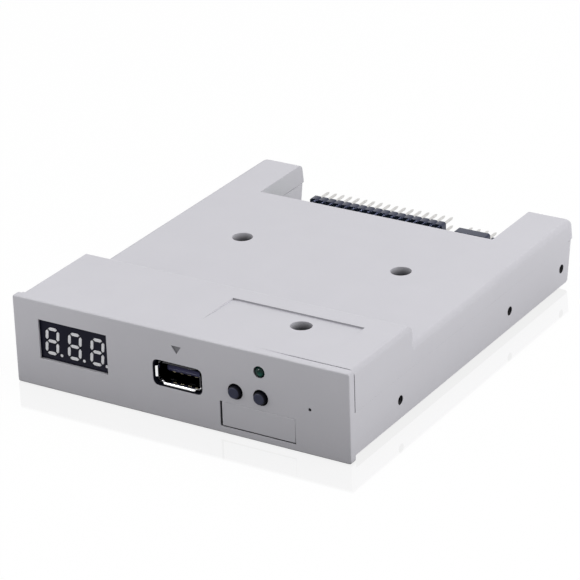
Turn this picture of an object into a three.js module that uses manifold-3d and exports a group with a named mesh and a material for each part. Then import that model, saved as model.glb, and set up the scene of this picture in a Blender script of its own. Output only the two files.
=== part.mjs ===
// Floppy drive emulator in the 3.5-inch, one-inch-high drive form.
// Millimetres. X across the front panel, +Y from the panel to the rear, +Z up.
// Pieces are drawn with the panel's face at y = 0, its middle at x = 0 and its lower edge at z = 0.
// The whole is then moved along Y, so that the origin is the middle of the footprint.

import * as THREE from "three";
import { mergeVertices } from "three/addons/utils/BufferGeometryUtils.js";
import Module from "manifold-3d";

const wasm = await Module();
wasm.setup();

// Clearances and overruns shared by all pieces
const overrun = 1;
const fit = 0.3;
const pinFit = 0.1;
const seam = 0.15;
const partingGap = 0.05;

// Front panel
const panelWidth = 101.6;
const panelHeight = 25;
const panelThickness = 2.6;
const panelCorner = 0.7;
const panelRounding = 0.35;

// Case behind the panel
const caseInset = 1.2;
const caseRise = 1.7;
const caseLength = 124.2;
const hoodDepth = 31.8;
const partingOffset = 0.9;
const wall = 2;
const floorThickness = 2;
const topThickness = 2;
const coverRoom = 0.86;
const caseRounding = 1.5;
const cornerRounding = 2.2;
const coverLean = 0.8;
const baseStep = 0.8;
const baseLean = 2.1;
const lipHeight = 1;
const lipThickness = 0.9;

// Bay at the rear, between the two arms, where the cables plug in
const bayDepth = 23.7;
const leftArmWidth = 12.7;
const rightArmWidth = 13.3;
const curtainGap = 0.72;

// Thumb ramp sunk in the hood
const rampInset = 10;
const rampWidth = 39.2;
const rampFront = 10;
const rampSetback = 6.8;
const rampDepth = 0.6;

// Openings in the front panel
const windowInset = 18.55;
const windowWidth = 21.4;
const windowHeight = 11.3;
const windowOffset = 1.45;
const portOverBoard = 3.45;
const portWidth = 15;
const portHeight = 7.3;
const portCorner = 1.8;
const labelMiddle = 23.75;
const labelWidth = 22.3;
const labelGap = 3.6;
const labelRise = 1.9;
const labelSlot = 0.65;
const labelSlotDepth = 1.6;
const labelGroove = 0.35;
const labelGrooveDepth = 0.6;
const labelLine = 0.15;
const resetHoleInset = 11.6;
const resetHoleDiameter = 0.9;
const arrowWidth = 3;
const arrowHeight = 2.2;
const arrowDrop = 3.7;
const arrowDepth = 0.45;

// Buttons and their switches
const buttonFirst = 17.4;
const buttonPitch = 7.5;
const buttonHole = 4.4;
const buttonDiameter = 3.4;
const buttonReach = 1.2;
const buttonTravel = 0.25;
const buttonRounding = 0.35;
const flangeDiameter = 4.6;
const flangeThickness = 0.7;
const pipDiameter = 1.4;
const pipLength = 0.4;
const switchSize = 6;
const switchOverBoard = 0.4;
const switchDepth = 3.4;
const switchPlate = 0.3;
const switchSetback = 1.1;
const switchBore = 5.2;
const domeThickness = 0.15;
const domeRise = 0.35;
const bracketLength = 2.2;
const bracketThickness = 0.4;

// Status lamp
const lampMiddle = 24.7;
const lampDrop = 5.35;
const lampDiameter = 3;
const lampHole = 3.3;
const lampReach = 0.4;
const lampLength = 5.3;
const lampFlange = 3.8;
const lampFlangeThickness = 1;
const domeSteps = 6;
const lampLeadPitch = 2.54;
const lampLeadSize = 0.5;
const lampLeadRun = 3.4;

// Holes and screws that hold the cover
const coverHoleSpread = 25;
const coverHoleRearSetback = 29.8;
const coverHoleFrontSetback = 12.5;
const wellDiameter = 5.8;
const headSink = 2;
const headDiameter = 5.2;
const headHeight = 2;
const shankDiameter = 2.6;
const shankLength = 10;
const pilotDiameter = 3.2;
const postFloor = 2.3;
const coverPostDiameter = 9;
const basePostDiameter = 7;

// Screw holes by which the drive is fastened in its cage
const mountHoleDiameter = 2.6;
const mountHoleDepth = 5;
const mountBossDiameter = 5.8;
const mountBossReach = 3.6;
const sideHoleFirst = 25.2;
const sideHoleMiddleStep = 60;
const sideHoleEnd = 8;
const sideHoleRise = 6.8;
const bottomHoleInset = 15;
const bottomBossHeight = 3;

// Main circuit board
const boardThickness = 1.6;
const boardDrop = 3.3;
const boardFront = 3.4;
const boardSetback = 9.2;
const boardSideGap = 0.4;
const boardCutGap = 2;
const boardBayGap = 0.6;
const boardShoulderGap = 2.6;
const boardHoleClearance = 0.8;
const standoffDiameter = 6;
const standoffInset = 4.5;
const standoffFrontSetback = 12.8;
const standoffRearSetback = 8.5;
const boardScrewHead = 4.6;
const boardScrewHeadHeight = 1.6;
const boardScrewShank = 2.2;
const boardScrewLength = 5;
const boardScrewHole = 2.8;

// Memory stick socket
const socketSetback = 0.4;
const socketLength = 14;
const socketInnerWidth = 12.5;
const socketInnerHeight = 5.12;
const socketSheet = 0.35;
const socketLipLength = 1.5;
const socketLipFlare = 0.35;
const socketLipInset = 0.7;
const socketTabDepth = 2.6;
const socketTabSetback = 8.4;
const tongueWidth = 10;
const tongueThickness = 1.84;
const tongueSetback = 2.7;
const tongueOffset = 1.15;
const tongueBevel = 0.5;
const insulatorDepth = 2.5;
const contactWidth = 1;
const contactThickness = 0.3;
const contactPitch = 2.25;
const contactSetback = 0.7;
const contactLegRun = 0.8;

// Three-digit display
const displayWidth = 22.4;
const displayGap = 0.2;
const displaySetback = 0.8;
const displayDepth = 6.3;
const displayFace = 0.6;
const displayWall = 0.7;
const digitPitch = 7.1;
const digitWidth = 4.45;
const digitHeight = 8;
const digitLean = 0.65;
const digitDrop = 0.3;
const segmentWidth = 1.02;
const segmentGap = 0.3;
const segmentFit = 0.05;
const pointDiameter = 1;
const pointReach = 0.85;
const pointSides = 12;
const displayBoardWidth = 29.4;
const displayBoardHeight = 13;
const displayBoardThickness = 1.2;
const displayPostSize = 3;
const displayScrewHead = 2.8;
const displayScrewHeadHeight = 1.1;
const displayScrewShank = 1.2;
const displayScrewLength = 3.2;
const displayScrewHole = 1.8;

// Lead between the display board and the main board, and its connectors
const leadPitch = 1;
const leadWires = 4;
const wireDiameter = 1;
const wireWeb = 0.7;
const plugWidth = 7.8;
const plugThickness = 3.6;
const plugLength = 5;
const socketWall = 0.7;
const socketBase = 1.2;
const socketCavity = 3.4;
const displaySocketOffset = 3.1;
const leadSocketSetback = 8.4;
const leadBulge = 1.8;

// Chips and other parts on the boards
const leadStub = 1.1;
const leadFoot = 0.45;
const controllerSetback = 18.2;
const controllerSize = 10;
const controllerHeight = 1.4;
const controllerLeads = 9;
const controllerLeadPitch = 1;
const controllerLeadWidth = 0.35;
const bufferSpread = 10;
const bufferSetback = 16.5;
const bufferLength = 8.7;
const bufferWidth = 3.9;
const bufferHeight = 1.5;
const bufferLeads = 7;
const bufferLeadPitch = 1.27;
const bufferLeadWidth = 0.45;
const driverDrop = 2.9;
const driverLength = 10.2;
const crystalStep = 15.4;
const crystalSetback = 14.2;
const crystalLength = 11.2;
const crystalWidth = 4.6;
const crystalHeight = 3.6;
const regulatorInset = 11.8;
const regulatorSetback = 4.2;
const regulatorLength = 6.5;
const regulatorWidth = 3.5;
const regulatorHeight = 1.6;
const regulatorTab = 3;
const regulatorTabThickness = 0.5;
const regulatorLeadPitch = 2.3;
const regulatorLeadWidth = 0.8;
const capacitorInset = 8.8;
const capacitorSetback = 18.2;
const capacitorPitch = 9;
const capacitorDiameter = 6.3;
const capacitorHeight = 5.4;
const capacitorBase = 6.6;
const capacitorBaseHeight = 0.8;
const capacitorGroove = 0.3;
const networkInset = 20.8;
const networkSetback = 28.2;
const networkPitch = 6;
const networkLength = 5;
const networkWidth = 2.2;
const networkHeight = 1.2;

// Pin headers
const pitch = 2.54;
const pinSize = 0.64;
const pinTip = 0.3;
const headerCut = 0.45;
const stripThickness = 0.5;
const interfaceColumns = 17;
const interfaceOverhang = 0.34;
const interfaceReach = 6.2;
const interfaceLegGap = 1.3;
const solderTail = 1.2;
const powerColumns = 4;
const headerLeftShare = 0.418;
const headerGapShare = 0.2;
const powerSetback = 0.3;
const powerDepth = 3.1;
const powerHeight = 4.6;
const powerPinRise = 2.3;
const powerReach = 6;
const powerShelf = 1;
const powerShelfReach = 5.4;
const jumperColumns = 5;
const jumperInset = 17.8;
const jumperSetback = 7.5;
const jumperPinHeight = 6.4;
const capHeight = 4.6;
const capWall = 0.5;

// Places worked out from the sizes above: the case
const caseRight = panelWidth / 2;
const caseLeft = -panelWidth / 2 + caseInset;
const caseMiddle = (caseLeft + caseRight) / 2;
const caseFront = panelThickness;
const coverFront = panelThickness + seam;
const bayFront = caseLength - bayDepth;
const bayLeft = caseLeft + leftArmWidth;
const bayRight = caseRight - rightArmWidth;
const baseRear = caseLength - baseStep;
const floorTop = caseRise + floorThickness;
const innerLeft = caseLeft + wall;
const innerRight = caseRight - wall;
const partingHeight = panelHeight / 2 + partingOffset;

// The circuit board, and the cover's height over it
const boardTop = panelHeight / 2 - boardDrop;
const boardUnder = boardTop - boardThickness;
const boardLeft = innerLeft + mountBossReach + boardSideGap;
const boardRight = innerRight - mountBossReach - boardSideGap;
const boardRear = caseLength - boardSetback;
const rearHeight = boardTop + pitch + capHeight + coverRoom + topThickness;

// Places in the front panel
const windowMiddle = -panelWidth / 2 + windowInset;
const windowRise = panelHeight / 2 + windowOffset;
const portRise = boardTop + portOverBoard;
const buttonRise = boardTop + switchOverBoard + switchSize / 2;
const lampRise = panelHeight - lampDrop;
const arrowRise = panelHeight - arrowDrop;
const labelHeight = buttonRise - labelGap - labelRise;
const resetHoleReach = panelWidth / 2 - resetHoleInset;
const tongueTop = portRise + tongueOffset;

// The ramp and the screws
const rampMiddle = caseRight - rampInset - rampWidth / 2;
const rampRear = hoodDepth - rampSetback;
const coverHoleFront = hoodDepth - coverHoleFrontSetback;
const coverHoleRear = bayFront - coverHoleRearSetback;
const coverHoleLeft = caseMiddle - coverHoleSpread;
const coverHoleRight = caseMiddle + coverHoleSpread;
const standoffFront = hoodDepth - standoffFrontSetback;
const standoffRear = bayFront - standoffRearSetback;
const rampTop = panelHeight - (rampDepth * (coverHoleFront - rampFront)) / (rampRear - rampFront);
const coverScrews = [
  { name: "cover_screw_rear_left", x: coverHoleLeft, y: coverHoleRear, top: rearHeight },
  { name: "cover_screw_rear_right", x: coverHoleRight, y: coverHoleRear, top: rearHeight },
  { name: "cover_screw_front", x: coverHoleRight, y: coverHoleFront, top: rampTop },
].map((screw) => ({ ...screw, seat: screw.top - headSink - headHeight }));
const boardScrews = [
  { name: "board_screw_front_left", x: boardLeft + standoffInset, y: standoffFront },
  { name: "board_screw_front_right", x: boardRight - standoffInset, y: standoffFront },
  { name: "board_screw_rear_left", x: boardLeft + standoffInset, y: standoffRear },
  { name: "board_screw_rear_right", x: boardRight - standoffInset, y: standoffRear },
];
const sideHoles = [sideHoleFirst, sideHoleFirst + sideHoleMiddleStep, caseLength - sideHoleEnd];
const buttons = [
  { side: "left", x: buttonFirst },
  { side: "right", x: buttonFirst + buttonPitch },
];
const switchFront = panelThickness + switchSetback;
const switchRear = switchFront + switchPlate + switchDepth;
const displayBack = displaySetback + displayDepth;
const displayHeight = windowHeight - 2 * displayGap;
const displayPostSpread = displayWidth / 2 + fit + displayPostSize / 2;
const displayBoardBack = displayBack + displayBoardThickness;
const displaySocketRise = windowRise + displaySocketOffset;
const driverRise = windowRise - driverDrop;
const leadSocketY = hoodDepth - leadSocketSetback;

// Places of the parts on the circuit board
const controllerX = caseMiddle;
const controllerY = hoodDepth + controllerSetback;
const crystalX = controllerX + crystalStep;
const crystalY = hoodDepth + crystalSetback;
const regulatorX = boardRight - regulatorInset;
const regulatorY = hoodDepth + regulatorSetback;
const capacitorX = boardRight - capacitorInset;
const capacitorY = hoodDepth + capacitorSetback;
const networkX = boardRight - networkInset;
const networkY = hoodDepth + networkSetback;
const jumperX = boardRight - jumperInset;
const jumperY = bayFront - jumperSetback;
const bufferY = bayFront - bufferSetback;
const interfaceWidth = interfaceColumns * pitch;
const powerWidth = powerColumns * pitch;
const bayRoom = bayRight - bayLeft - interfaceWidth - powerWidth;
const interfaceMiddle = bayLeft + headerLeftShare * bayRoom + interfaceWidth / 2;
const powerMiddle =
  interfaceMiddle + interfaceWidth / 2 + headerGapShare * bayRoom + powerWidth / 2;
const interfaceFace = boardRear + interfaceOverhang;
const powerFace = boardRear - powerSetback;

// Geometry helpers

// A box between two corners: a unit cube, stretched and placed in one step.
function box(x0, x1, y0, y1, z0, z1) {
  const place = new THREE.Matrix4().makeScale(x1 - x0, y1 - y0, z1 - z0);
  place.setPosition((x0 + x1) / 2, (y0 + y1) / 2, (z0 + z1) / 2);
  return new THREE.BoxGeometry().applyMatrix4(place);
}

// A closed outline through corners, each rounded by its own radius.
function outline(corners) {
  const shape = new THREE.Shape();
  corners.forEach(([x, y, radius = 0], i) => {
    const here = new THREE.Vector2(x, y);
    const before = new THREE.Vector2(...corners.at(i - 1));
    const after = new THREE.Vector2(...corners[(i + 1) % corners.length]);
    const start = here.clone().add(before.sub(here).setLength(radius));
    const end = here.clone().add(after.sub(here).setLength(radius));
    if (i === 0) shape.moveTo(start.x, start.y);
    else shape.lineTo(start.x, start.y);
    if (radius > 0) shape.quadraticCurveTo(here.x, here.y, end.x, end.y);
  });
  shape.closePath();
  return shape;
}

// A rectangle around a middle point, with rounded corners.
function rectangle(x, y, width, height, radius = 0) {
  return outline([
    [x - width / 2, y - height / 2, radius],
    [x + width / 2, y - height / 2, radius],
    [x + width / 2, y + height / 2, radius],
    [x - width / 2, y + height / 2, radius],
  ]);
}

// A circle as a shape, with a set number of sides.
function circle(x, y, diameter, sides) {
  const points = Array.from({ length: sides }, (_, i) => {
    const turn = (2 * Math.PI * (i + 0.5)) / sides;
    return new THREE.Vector2(
      x + (diameter / 2) * Math.cos(turn),
      y + (diameter / 2) * Math.sin(turn),
    );
  });
  return new THREE.Shape(points);
}

// A shape drawn out along its normal by one unit, then turned, stretched and placed in one step.
function extrude(shape, across, up, along, start, curveSegments) {
  const settings = { depth: 1, bevelEnabled: false, curveSegments };
  const place = new THREE.Matrix4().makeBasis(across, up, along).setPosition(start);
  return new THREE.ExtrudeGeometry(shape, settings).applyMatrix4(place);
}

const axisX = new THREE.Vector3(1, 0, 0);
const axisY = new THREE.Vector3(0, 1, 0);
const axisZ = new THREE.Vector3(0, 0, 1);

// A shape in X and Y, drawn up from z0 to z1.
function extrudeUp(shape, z0, z1, curveSegments = 3) {
  const start = axisZ.clone().multiplyScalar(z0);
  const along = axisZ.clone().multiplyScalar(z1 - z0);
  return extrude(shape, axisX, axisY, along, start, curveSegments);
}

// A shape in X and Z, drawn back from y0 to y1.
function extrudeBack(shape, y0, y1, curveSegments = 3) {
  const start = axisY.clone().multiplyScalar(y0);
  const along = axisY.clone().multiplyScalar(y1 - y0);
  return extrude(shape, axisX, axisZ, along, start, curveSegments);
}

// A shape in Y and Z, drawn across from x0 to x1.
function extrudeAcross(shape, x0, x1, curveSegments = 3) {
  const start = axisX.clone().multiplyScalar(x0);
  const along = axisX.clone().multiplyScalar(x1 - x0);
  return extrude(shape, axisY, axisZ, along, start, curveSegments);
}

// A shape in X and Y, drawn up with its upper and lower edges rounded.
function roundedBlock(shape, z0, z1, rounding, curveSegments = 3, bevelSegments = 2) {
  const settings = {
    depth: z1 - z0 - 2 * rounding,
    bevelEnabled: true,
    bevelThickness: rounding,
    bevelSize: rounding,
    bevelOffset: -rounding,
    bevelSegments,
    curveSegments,
  };
  return new THREE.ExtrudeGeometry(shape, settings).translate(0, 0, z0 + rounding);
}

// A profile of radius and height turned about Z.
function turnedUp(profile, x, y, segments = 16) {
  const points = profile.map(([r, h]) => new THREE.Vector2(r, h));
  return new THREE.LatheGeometry(points, segments).rotateX(Math.PI / 2).translate(x, y, 0);
}

// A profile of radius and depth turned about Y.
function turnedBack(profile, x, z, segments = 18) {
  const points = profile.map(([r, d]) => new THREE.Vector2(r, d));
  return new THREE.LatheGeometry(points, segments).translate(x, 0, z);
}

// A cylinder along Z from z0 to z1.
function rodUp(x, y, diameter, z0, z1, sides = 12) {
  return extrudeUp(circle(x, y, diameter, sides), z0, z1);
}

// A cylinder along Y from y0 to y1.
function rodBack(x, z, diameter, y0, y1, sides = 20) {
  return extrudeBack(circle(x, z, diameter, sides), y0, y1);
}

// A cylinder along X from x0 to x1.
function rodAcross(y, z, diameter, x0, x1, sides = 12) {
  return extrudeAcross(circle(y, z, diameter, sides), x0, x1);
}

// Moves points along Y in proportion to their height between z0 and z1, from depth y0 on.
function lean(geometry, y0, z0, z1, amount) {
  const place = geometry.getAttribute("position");
  for (let i = 0; i < place.count; i += 1) {
    if (place.getY(i) > y0) {
      const share = (place.getZ(i) - z0) / (z1 - z0);
      place.setY(i, place.getY(i) - amount * share);
    }
  }
  return geometry;
}

// A closed geometry as a solid that can be cut and joined.
function solid(geometry) {
  const bare = geometry.clone();
  bare.deleteAttribute("normal");
  bare.deleteAttribute("uv");
  const merged = mergeVertices(bare);
  const corners = merged.index.array;
  const place = merged.getAttribute("position");
  const faces = [];
  let volume = 0;
  const [a, b, c] = [new THREE.Vector3(), new THREE.Vector3(), new THREE.Vector3()];
  for (let i = 0; i < corners.length; i += 3) {
    const [p, q, r] = corners.slice(i, i + 3);
    if (p !== q && q !== r && r !== p) {
      faces.push([p, q, r]);
      a.fromBufferAttribute(place, p);
      b.fromBufferAttribute(place, q);
      c.fromBufferAttribute(place, r);
      volume += a.dot(b.cross(c));
    }
  }
  const outward = volume < 0 ? faces.map(([p, q, r]) => [p, r, q]) : faces;
  const mesh = new wasm.Mesh({
    numProp: 3,
    vertProperties: new Float32Array(place.array),
    triVerts: new Uint32Array(outward.flat()),
  });
  return new wasm.Manifold(mesh);
}

// Geometries joined to one solid.
function join(geometries) {
  return geometries.map(solid).reduce((whole, next) => whole.add(next));
}

// A solid with other geometries taken away.
function cut(whole, geometries) {
  return whole.subtract(join(geometries));
}

const drive = new THREE.Group();

// Adds a solid to the drive as a named mesh with its finish.
function addPart(name, body, finish) {
  const mesh = body.getMesh();
  const geometry = new THREE.BufferGeometry();
  geometry.setAttribute("position", new THREE.BufferAttribute(mesh.vertProperties, 3));
  geometry.setIndex(new THREE.BufferAttribute(mesh.triVerts, 1));
  geometry.computeVertexNormals();
  const piece = new THREE.Mesh(geometry, finish.clone());
  piece.name = name;
  drive.add(piece);
}

// Finishes
function finishOf(color, roughness, metalness) {
  return new THREE.MeshStandardMaterial({ color, roughness, metalness });
}
const greyPlastic = finishOf(0xc9c7cc, 0.55, 0);
const blackPlastic = finishOf(0x17181d, 0.5, 0);
const whitePlastic = finishOf(0xe9e6de, 0.5, 0);
const steel = finishOf(0xc4c6c8, 0.3, 1);
const blackSteel = finishOf(0x1c1c1e, 0.45, 0.8);
const gold = finishOf(0xd4b25f, 0.3, 1);
const greenBoard = finishOf(0x1f5b3a, 0.5, 0);
const greenLens = finishOf(0x0f6b4d, 0.15, 0);
const segmentWhite = finishOf(0xc8c8cc, 0.45, 0);
const chipBlack = finishOf(0x202124, 0.6, 0);
const aluminium = finishOf(0xb8babd, 0.35, 1);
const greyWire = finishOf(0x9a9a9c, 0.6, 0);

// Plan of the cover behind the hood, with its rear corners rounded.
function coverPlan(front, corner) {
  return outline([
    [caseLeft, front],
    [caseRight, front],
    [caseRight, caseLength, corner],
    [caseLeft, caseLength, corner],
  ]);
}

// Grooves round the label field: a deep slot at its left, a groove below, fine lines on top and at
// its right.
function labelGrooves() {
  const left = labelMiddle - labelWidth / 2;
  const right = labelMiddle + labelWidth / 2;
  const top = labelRise + labelHeight;
  const groove = (x0, x1, z0, z1, depth) => box(x0, x1, -overrun, depth, z0, z1);
  return [
    groove(left, left + labelSlot, labelRise, top, labelSlotDepth),
    groove(left, right, labelRise, labelRise + labelGroove, labelGrooveDepth),
    groove(left, right, top - labelLine, top, labelLine),
    groove(right - labelLine, right, labelRise, top, labelLine),
  ];
}

// Lower case with the front panel: tray, posts, bosses and the panel's openings.
function makeBase() {
  const panelShape = rectangle(0, panelHeight / 2, panelWidth, panelHeight, panelCorner);
  const trayPlan = outline([
    [caseLeft, caseFront - overrun],
    [caseRight, caseFront - overrun],
    [caseRight, baseRear, cornerRounding],
    [caseLeft, baseRear, cornerRounding],
  ]);
  const trayTop = partingHeight - partingGap;
  const lipTop = partingHeight + lipHeight;
  const tray = lean(extrudeUp(trayPlan, caseRise, lipTop), bayFront, trayTop, caseRise, baseLean);
  const innerRear = baseRear - baseLean - wall;
  const lipRear = innerRear - cornerRounding;
  const above = lipTop + overrun;
  const behind = caseLength + overrun;
  const hollow = [
    box(innerLeft, innerRight, caseFront, bayFront, floorTop, above),
    box(innerLeft, bayLeft - wall, bayFront - overrun, innerRear, floorTop, above),
    box(bayRight + wall, innerRight, bayFront - overrun, innerRear, floorTop, above),
    box(bayLeft, bayRight, bayFront - overrun, behind, floorTop, above),
    box(innerLeft, innerRight, 0, behind, trayTop, above),
    box(caseLeft - overrun, innerLeft - lipThickness, 0, behind, trayTop, above),
    box(innerRight + lipThickness, caseRight + overrun, 0, behind, trayTop, above),
    box(caseLeft - overrun, caseRight + overrun, lipRear, behind, trayTop, above),
  ];
  let base = cut(solid(tray), hollow);

  const panel = roundedBlock(panelShape, 0, panelThickness, panelRounding);
  const fittings = [panel.applyMatrix4(new THREE.Matrix4().makeBasis(axisX, axisZ, axisY))];
  for (const screw of coverScrews) {
    const postTop = screw.seat - postFloor;
    fittings.push(rodUp(screw.x, screw.y, basePostDiameter, floorTop - overrun, postTop, 16));
  }
  for (const screw of boardScrews) {
    fittings.push(rodUp(screw.x, screw.y, standoffDiameter, floorTop - overrun, boardUnder));
  }
  const bottomHoles = [];
  for (const y of sideHoles) {
    const left = caseLeft + wall + mountBossReach;
    const right = caseRight - wall - mountBossReach;
    fittings.push(rodAcross(y, sideHoleRise, mountBossDiameter, caseLeft + wall / 2, left));
    fittings.push(rodAcross(y, sideHoleRise, mountBossDiameter, right, caseRight - wall / 2));
    if (y < bayFront) {
      bottomHoles.push([caseLeft + bottomHoleInset, y], [caseRight - bottomHoleInset, y]);
    }
  }
  const bottomBossTop = floorTop + bottomBossHeight;
  for (const [x, y] of bottomHoles) {
    fittings.push(rodUp(x, y, mountBossDiameter, floorTop - overrun, bottomBossTop));
  }
  for (const side of [-1, 1]) {
    const x = windowMiddle + side * displayPostSpread;
    const half = displayPostSize / 2;
    fittings.push(
      box(x - half, x + half, caseFront - overrun, displayBack, windowRise - half, windowRise + half),
    );
  }
  base = base.add(join(fittings));

  const openings = [
    extrudeBack(
      rectangle(windowMiddle, windowRise, windowWidth, windowHeight),
      -overrun,
      panelThickness + overrun,
    ),
    extrudeBack(
      rectangle(0, portRise, portWidth, portHeight, portCorner),
      -overrun,
      panelThickness + overrun,
      5,
    ),
    extrudeBack(
      rectangle(windowMiddle, windowRise, displayWidth + 2 * displayGap, windowHeight),
      displaySetback - displayGap,
      panelThickness + overrun,
    ),
    rodBack(lampMiddle, lampRise, lampHole, -overrun, panelThickness + overrun),
    rodBack(resetHoleReach, buttonRise, resetHoleDiameter, -overrun, panelThickness + overrun, 10),
    ...labelGrooves(),
    extrudeBack(
      outline([
        [-arrowWidth / 2, arrowRise],
        [0, arrowRise - arrowHeight],
        [arrowWidth / 2, arrowRise],
      ]),
      -overrun,
      arrowDepth,
    ),
  ];
  for (const { x } of buttons) {
    openings.push(rodBack(x, buttonRise, buttonHole, -overrun, panelThickness + overrun));
  }
  for (const screw of coverScrews) {
    const bottom = screw.seat - shankLength - fit;
    openings.push(rodUp(screw.x, screw.y, pilotDiameter, bottom, screw.seat));
  }
  for (const screw of boardScrews) {
    const bottom = boardTop - boardScrewLength - fit;
    openings.push(rodUp(screw.x, screw.y, boardScrewHole, bottom, boardTop, 10));
  }
  for (const y of sideHoles) {
    const left = caseLeft + mountHoleDepth;
    const right = caseRight - mountHoleDepth;
    openings.push(
      rodAcross(y, sideHoleRise, mountHoleDiameter, caseLeft - overrun, left),
      rodAcross(y, sideHoleRise, mountHoleDiameter, right, caseRight + overrun),
    );
  }
  for (const [x, y] of bottomHoles) {
    const top = bottomBossTop - floorThickness / 2;
    openings.push(rodUp(x, y, mountHoleDiameter, caseRise - overrun, top));
  }
  for (const side of [-1, 1]) {
    const x = windowMiddle + side * displayPostSpread;
    const back = displayBoardBack - displayScrewLength - fit;
    openings.push(rodBack(x, windowRise, displayScrewHole, back, displayBack + overrun, 10));
  }
  addPart("base_shell", cut(base, openings), greyPlastic);
}

// Top cover: the hood behind the panel, the lower rear part with its arms, and the screw wells.
function makeCover() {
  const under = partingHeight - 2 * caseRounding;
  const hoodFront = coverFront - 2 * caseRounding;
  const hood = roundedBlock(
    rectangle(
      caseMiddle,
      (hoodFront + hoodDepth) / 2,
      caseRight - caseLeft,
      hoodDepth - hoodFront,
    ),
    under,
    panelHeight,
    caseRounding,
    3,
    3,
  );
  const rear = lean(
    roundedBlock(
      coverPlan(hoodDepth - 2 * wall, cornerRounding),
      under,
      rearHeight,
      caseRounding,
      3,
      3,
    ),
    bayFront + bayDepth / 2,
    partingHeight,
    rearHeight,
    coverLean,
  );
  let cover = join([hood, rear]);

  const below = partingHeight - 4 * overrun;
  const hoodCeiling = panelHeight - topThickness;
  const rearCeiling = rearHeight - topThickness;
  const armRear = caseLength - coverLean - wall;
  const curtain = boardTop + 2 * pitch + curtainGap;
  const hollow = [
    box(caseLeft - overrun, caseRight + overrun, 0, caseLength + overrun, below, partingHeight),
    box(caseLeft - overrun, caseRight + overrun, hoodFront, coverFront, below, panelHeight + overrun),
    box(bayLeft, bayRight, bayFront, caseLength + overrun, below, rearHeight + overrun),
    box(innerLeft, innerRight, 0, hoodDepth - wall, below, hoodCeiling),
    box(innerLeft, innerRight, hoodDepth - 2 * wall, bayFront - wall, below, rearCeiling),
    box(innerLeft, bayLeft - wall, bayFront - 2 * wall, armRear, below, rearCeiling),
    box(bayRight + wall, innerRight, bayFront - 2 * wall, armRear, below, rearCeiling),
    box(bayLeft, bayRight, bayFront - 2 * wall, bayFront + overrun, below, curtain),
    box(
      caseLeft + wall - lipThickness - partingGap,
      caseRight - wall + lipThickness + partingGap,
      0,
      armRear,
      below,
      partingHeight + lipHeight + partingGap,
    ),
  ];
  // The rabbet for the lip runs only where the walls stand free of the arms' inner walls.
  const rabbet = solid(hollow.pop()).subtract(
    join([
      box(bayLeft - wall, bayLeft, bayFront - wall, caseLength, below, rearHeight),
      box(bayRight, bayRight + wall, bayFront - wall, caseLength, below, rearHeight),
      box(innerLeft, innerRight, 0, caseLength, partingHeight + lipHeight, rearHeight),
    ]),
  );
  cover = cut(cover, hollow).subtract(rabbet);

  const posts = coverScrews.map((screw) =>
    rodUp(
      screw.x,
      screw.y,
      coverPostDiameter,
      screw.seat - postFloor,
      screw.top - topThickness / 2,
      16,
    ),
  );
  cover = cover.add(join(posts));

  const rampShape = outline([
    [rampFront, panelHeight],
    [rampRear, panelHeight - rampDepth],
    [rampRear, panelHeight + overrun],
    [rampFront, panelHeight + overrun],
  ]);
  const openings = [
    extrudeAcross(rampShape, rampMiddle - rampWidth / 2, rampMiddle + rampWidth / 2),
  ];
  for (const screw of coverScrews) {
    openings.push(
      rodUp(screw.x, screw.y, wellDiameter, screw.seat, panelHeight + overrun, 20),
      rodUp(screw.x, screw.y, pilotDiameter, screw.seat - postFloor - overrun, screw.seat + fit),
    );
  }
  addPart("top_cover", cut(cover, openings), greyPlastic);
}

// A pan-head screw with a cross recess, its head's underside at the seat, pointing down.
function screwDown(x, y, seat, head, headTall, shank, length, sides) {
  const point = shank / 2;
  const profile = [
    [0, seat - length],
    [shank / 2, seat - length + point],
    [shank / 2, seat],
    [head / 2, seat],
    [head / 2, seat + headTall / 2],
    [head / 2.6, seat + headTall],
    [0, seat + headTall],
  ];
  const arm = head / 4;
  const slot = head / 12;
  const low = seat + headTall / 2;
  const high = seat + headTall + overrun;
  return cut(solid(turnedUp(profile, x, y, sides)), [
    box(x - arm, x + arm, y - slot, y + slot, low, high),
    box(x - slot, x + slot, y - arm, y + arm, low, high),
  ]);
}

function makeScrews() {
  for (const { name, x, y, seat } of coverScrews) {
    const screw = screwDown(x, y, seat, headDiameter, headHeight, shankDiameter, shankLength, 16);
    addPart(name, screw, blackSteel);
  }
  for (const { name, x, y } of boardScrews) {
    const screw = screwDown(
      x,
      y,
      boardTop,
      boardScrewHead,
      boardScrewHeadHeight,
      boardScrewShank,
      boardScrewLength,
      12,
    );
    addPart(name, screw, steel);
  }
  // The display's screws point forward: the same screw, laid over about its seat.
  for (const side of [-1, 1]) {
    const screw = screwDown(
      0,
      0,
      0,
      displayScrewHead,
      displayScrewHeadHeight,
      displayScrewShank,
      displayScrewLength,
      10,
    );
    const seat = displayBoardBack;
    const laid = screw
      .rotate([-90, 0, 0])
      .translate([windowMiddle + side * displayPostSpread, seat, windowRise]);
    addPart(side < 0 ? "display_screw_left" : "display_screw_right", laid, steel);
  }
}

// Leg places of the two right-angle headers, counted from the housing's front face.
const interfaceHousingFront = interfaceFace - pitch;
const interfaceRows = [
  { name: "lower", rise: boardTop + pitch / 2, leg: interfaceHousingFront - interfaceLegGap },
  {
    name: "upper",
    rise: boardTop + (3 * pitch) / 2,
    leg: interfaceHousingFront - interfaceLegGap - pitch,
  },
];
const powerHousingFront = powerFace - powerDepth;
const powerLeg = powerHousingFront - interfaceLegGap;

// X of one column of a header.
function columnX(middle, columns, column) {
  return middle + (column - (columns - 1) / 2) * pitch;
}

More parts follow.
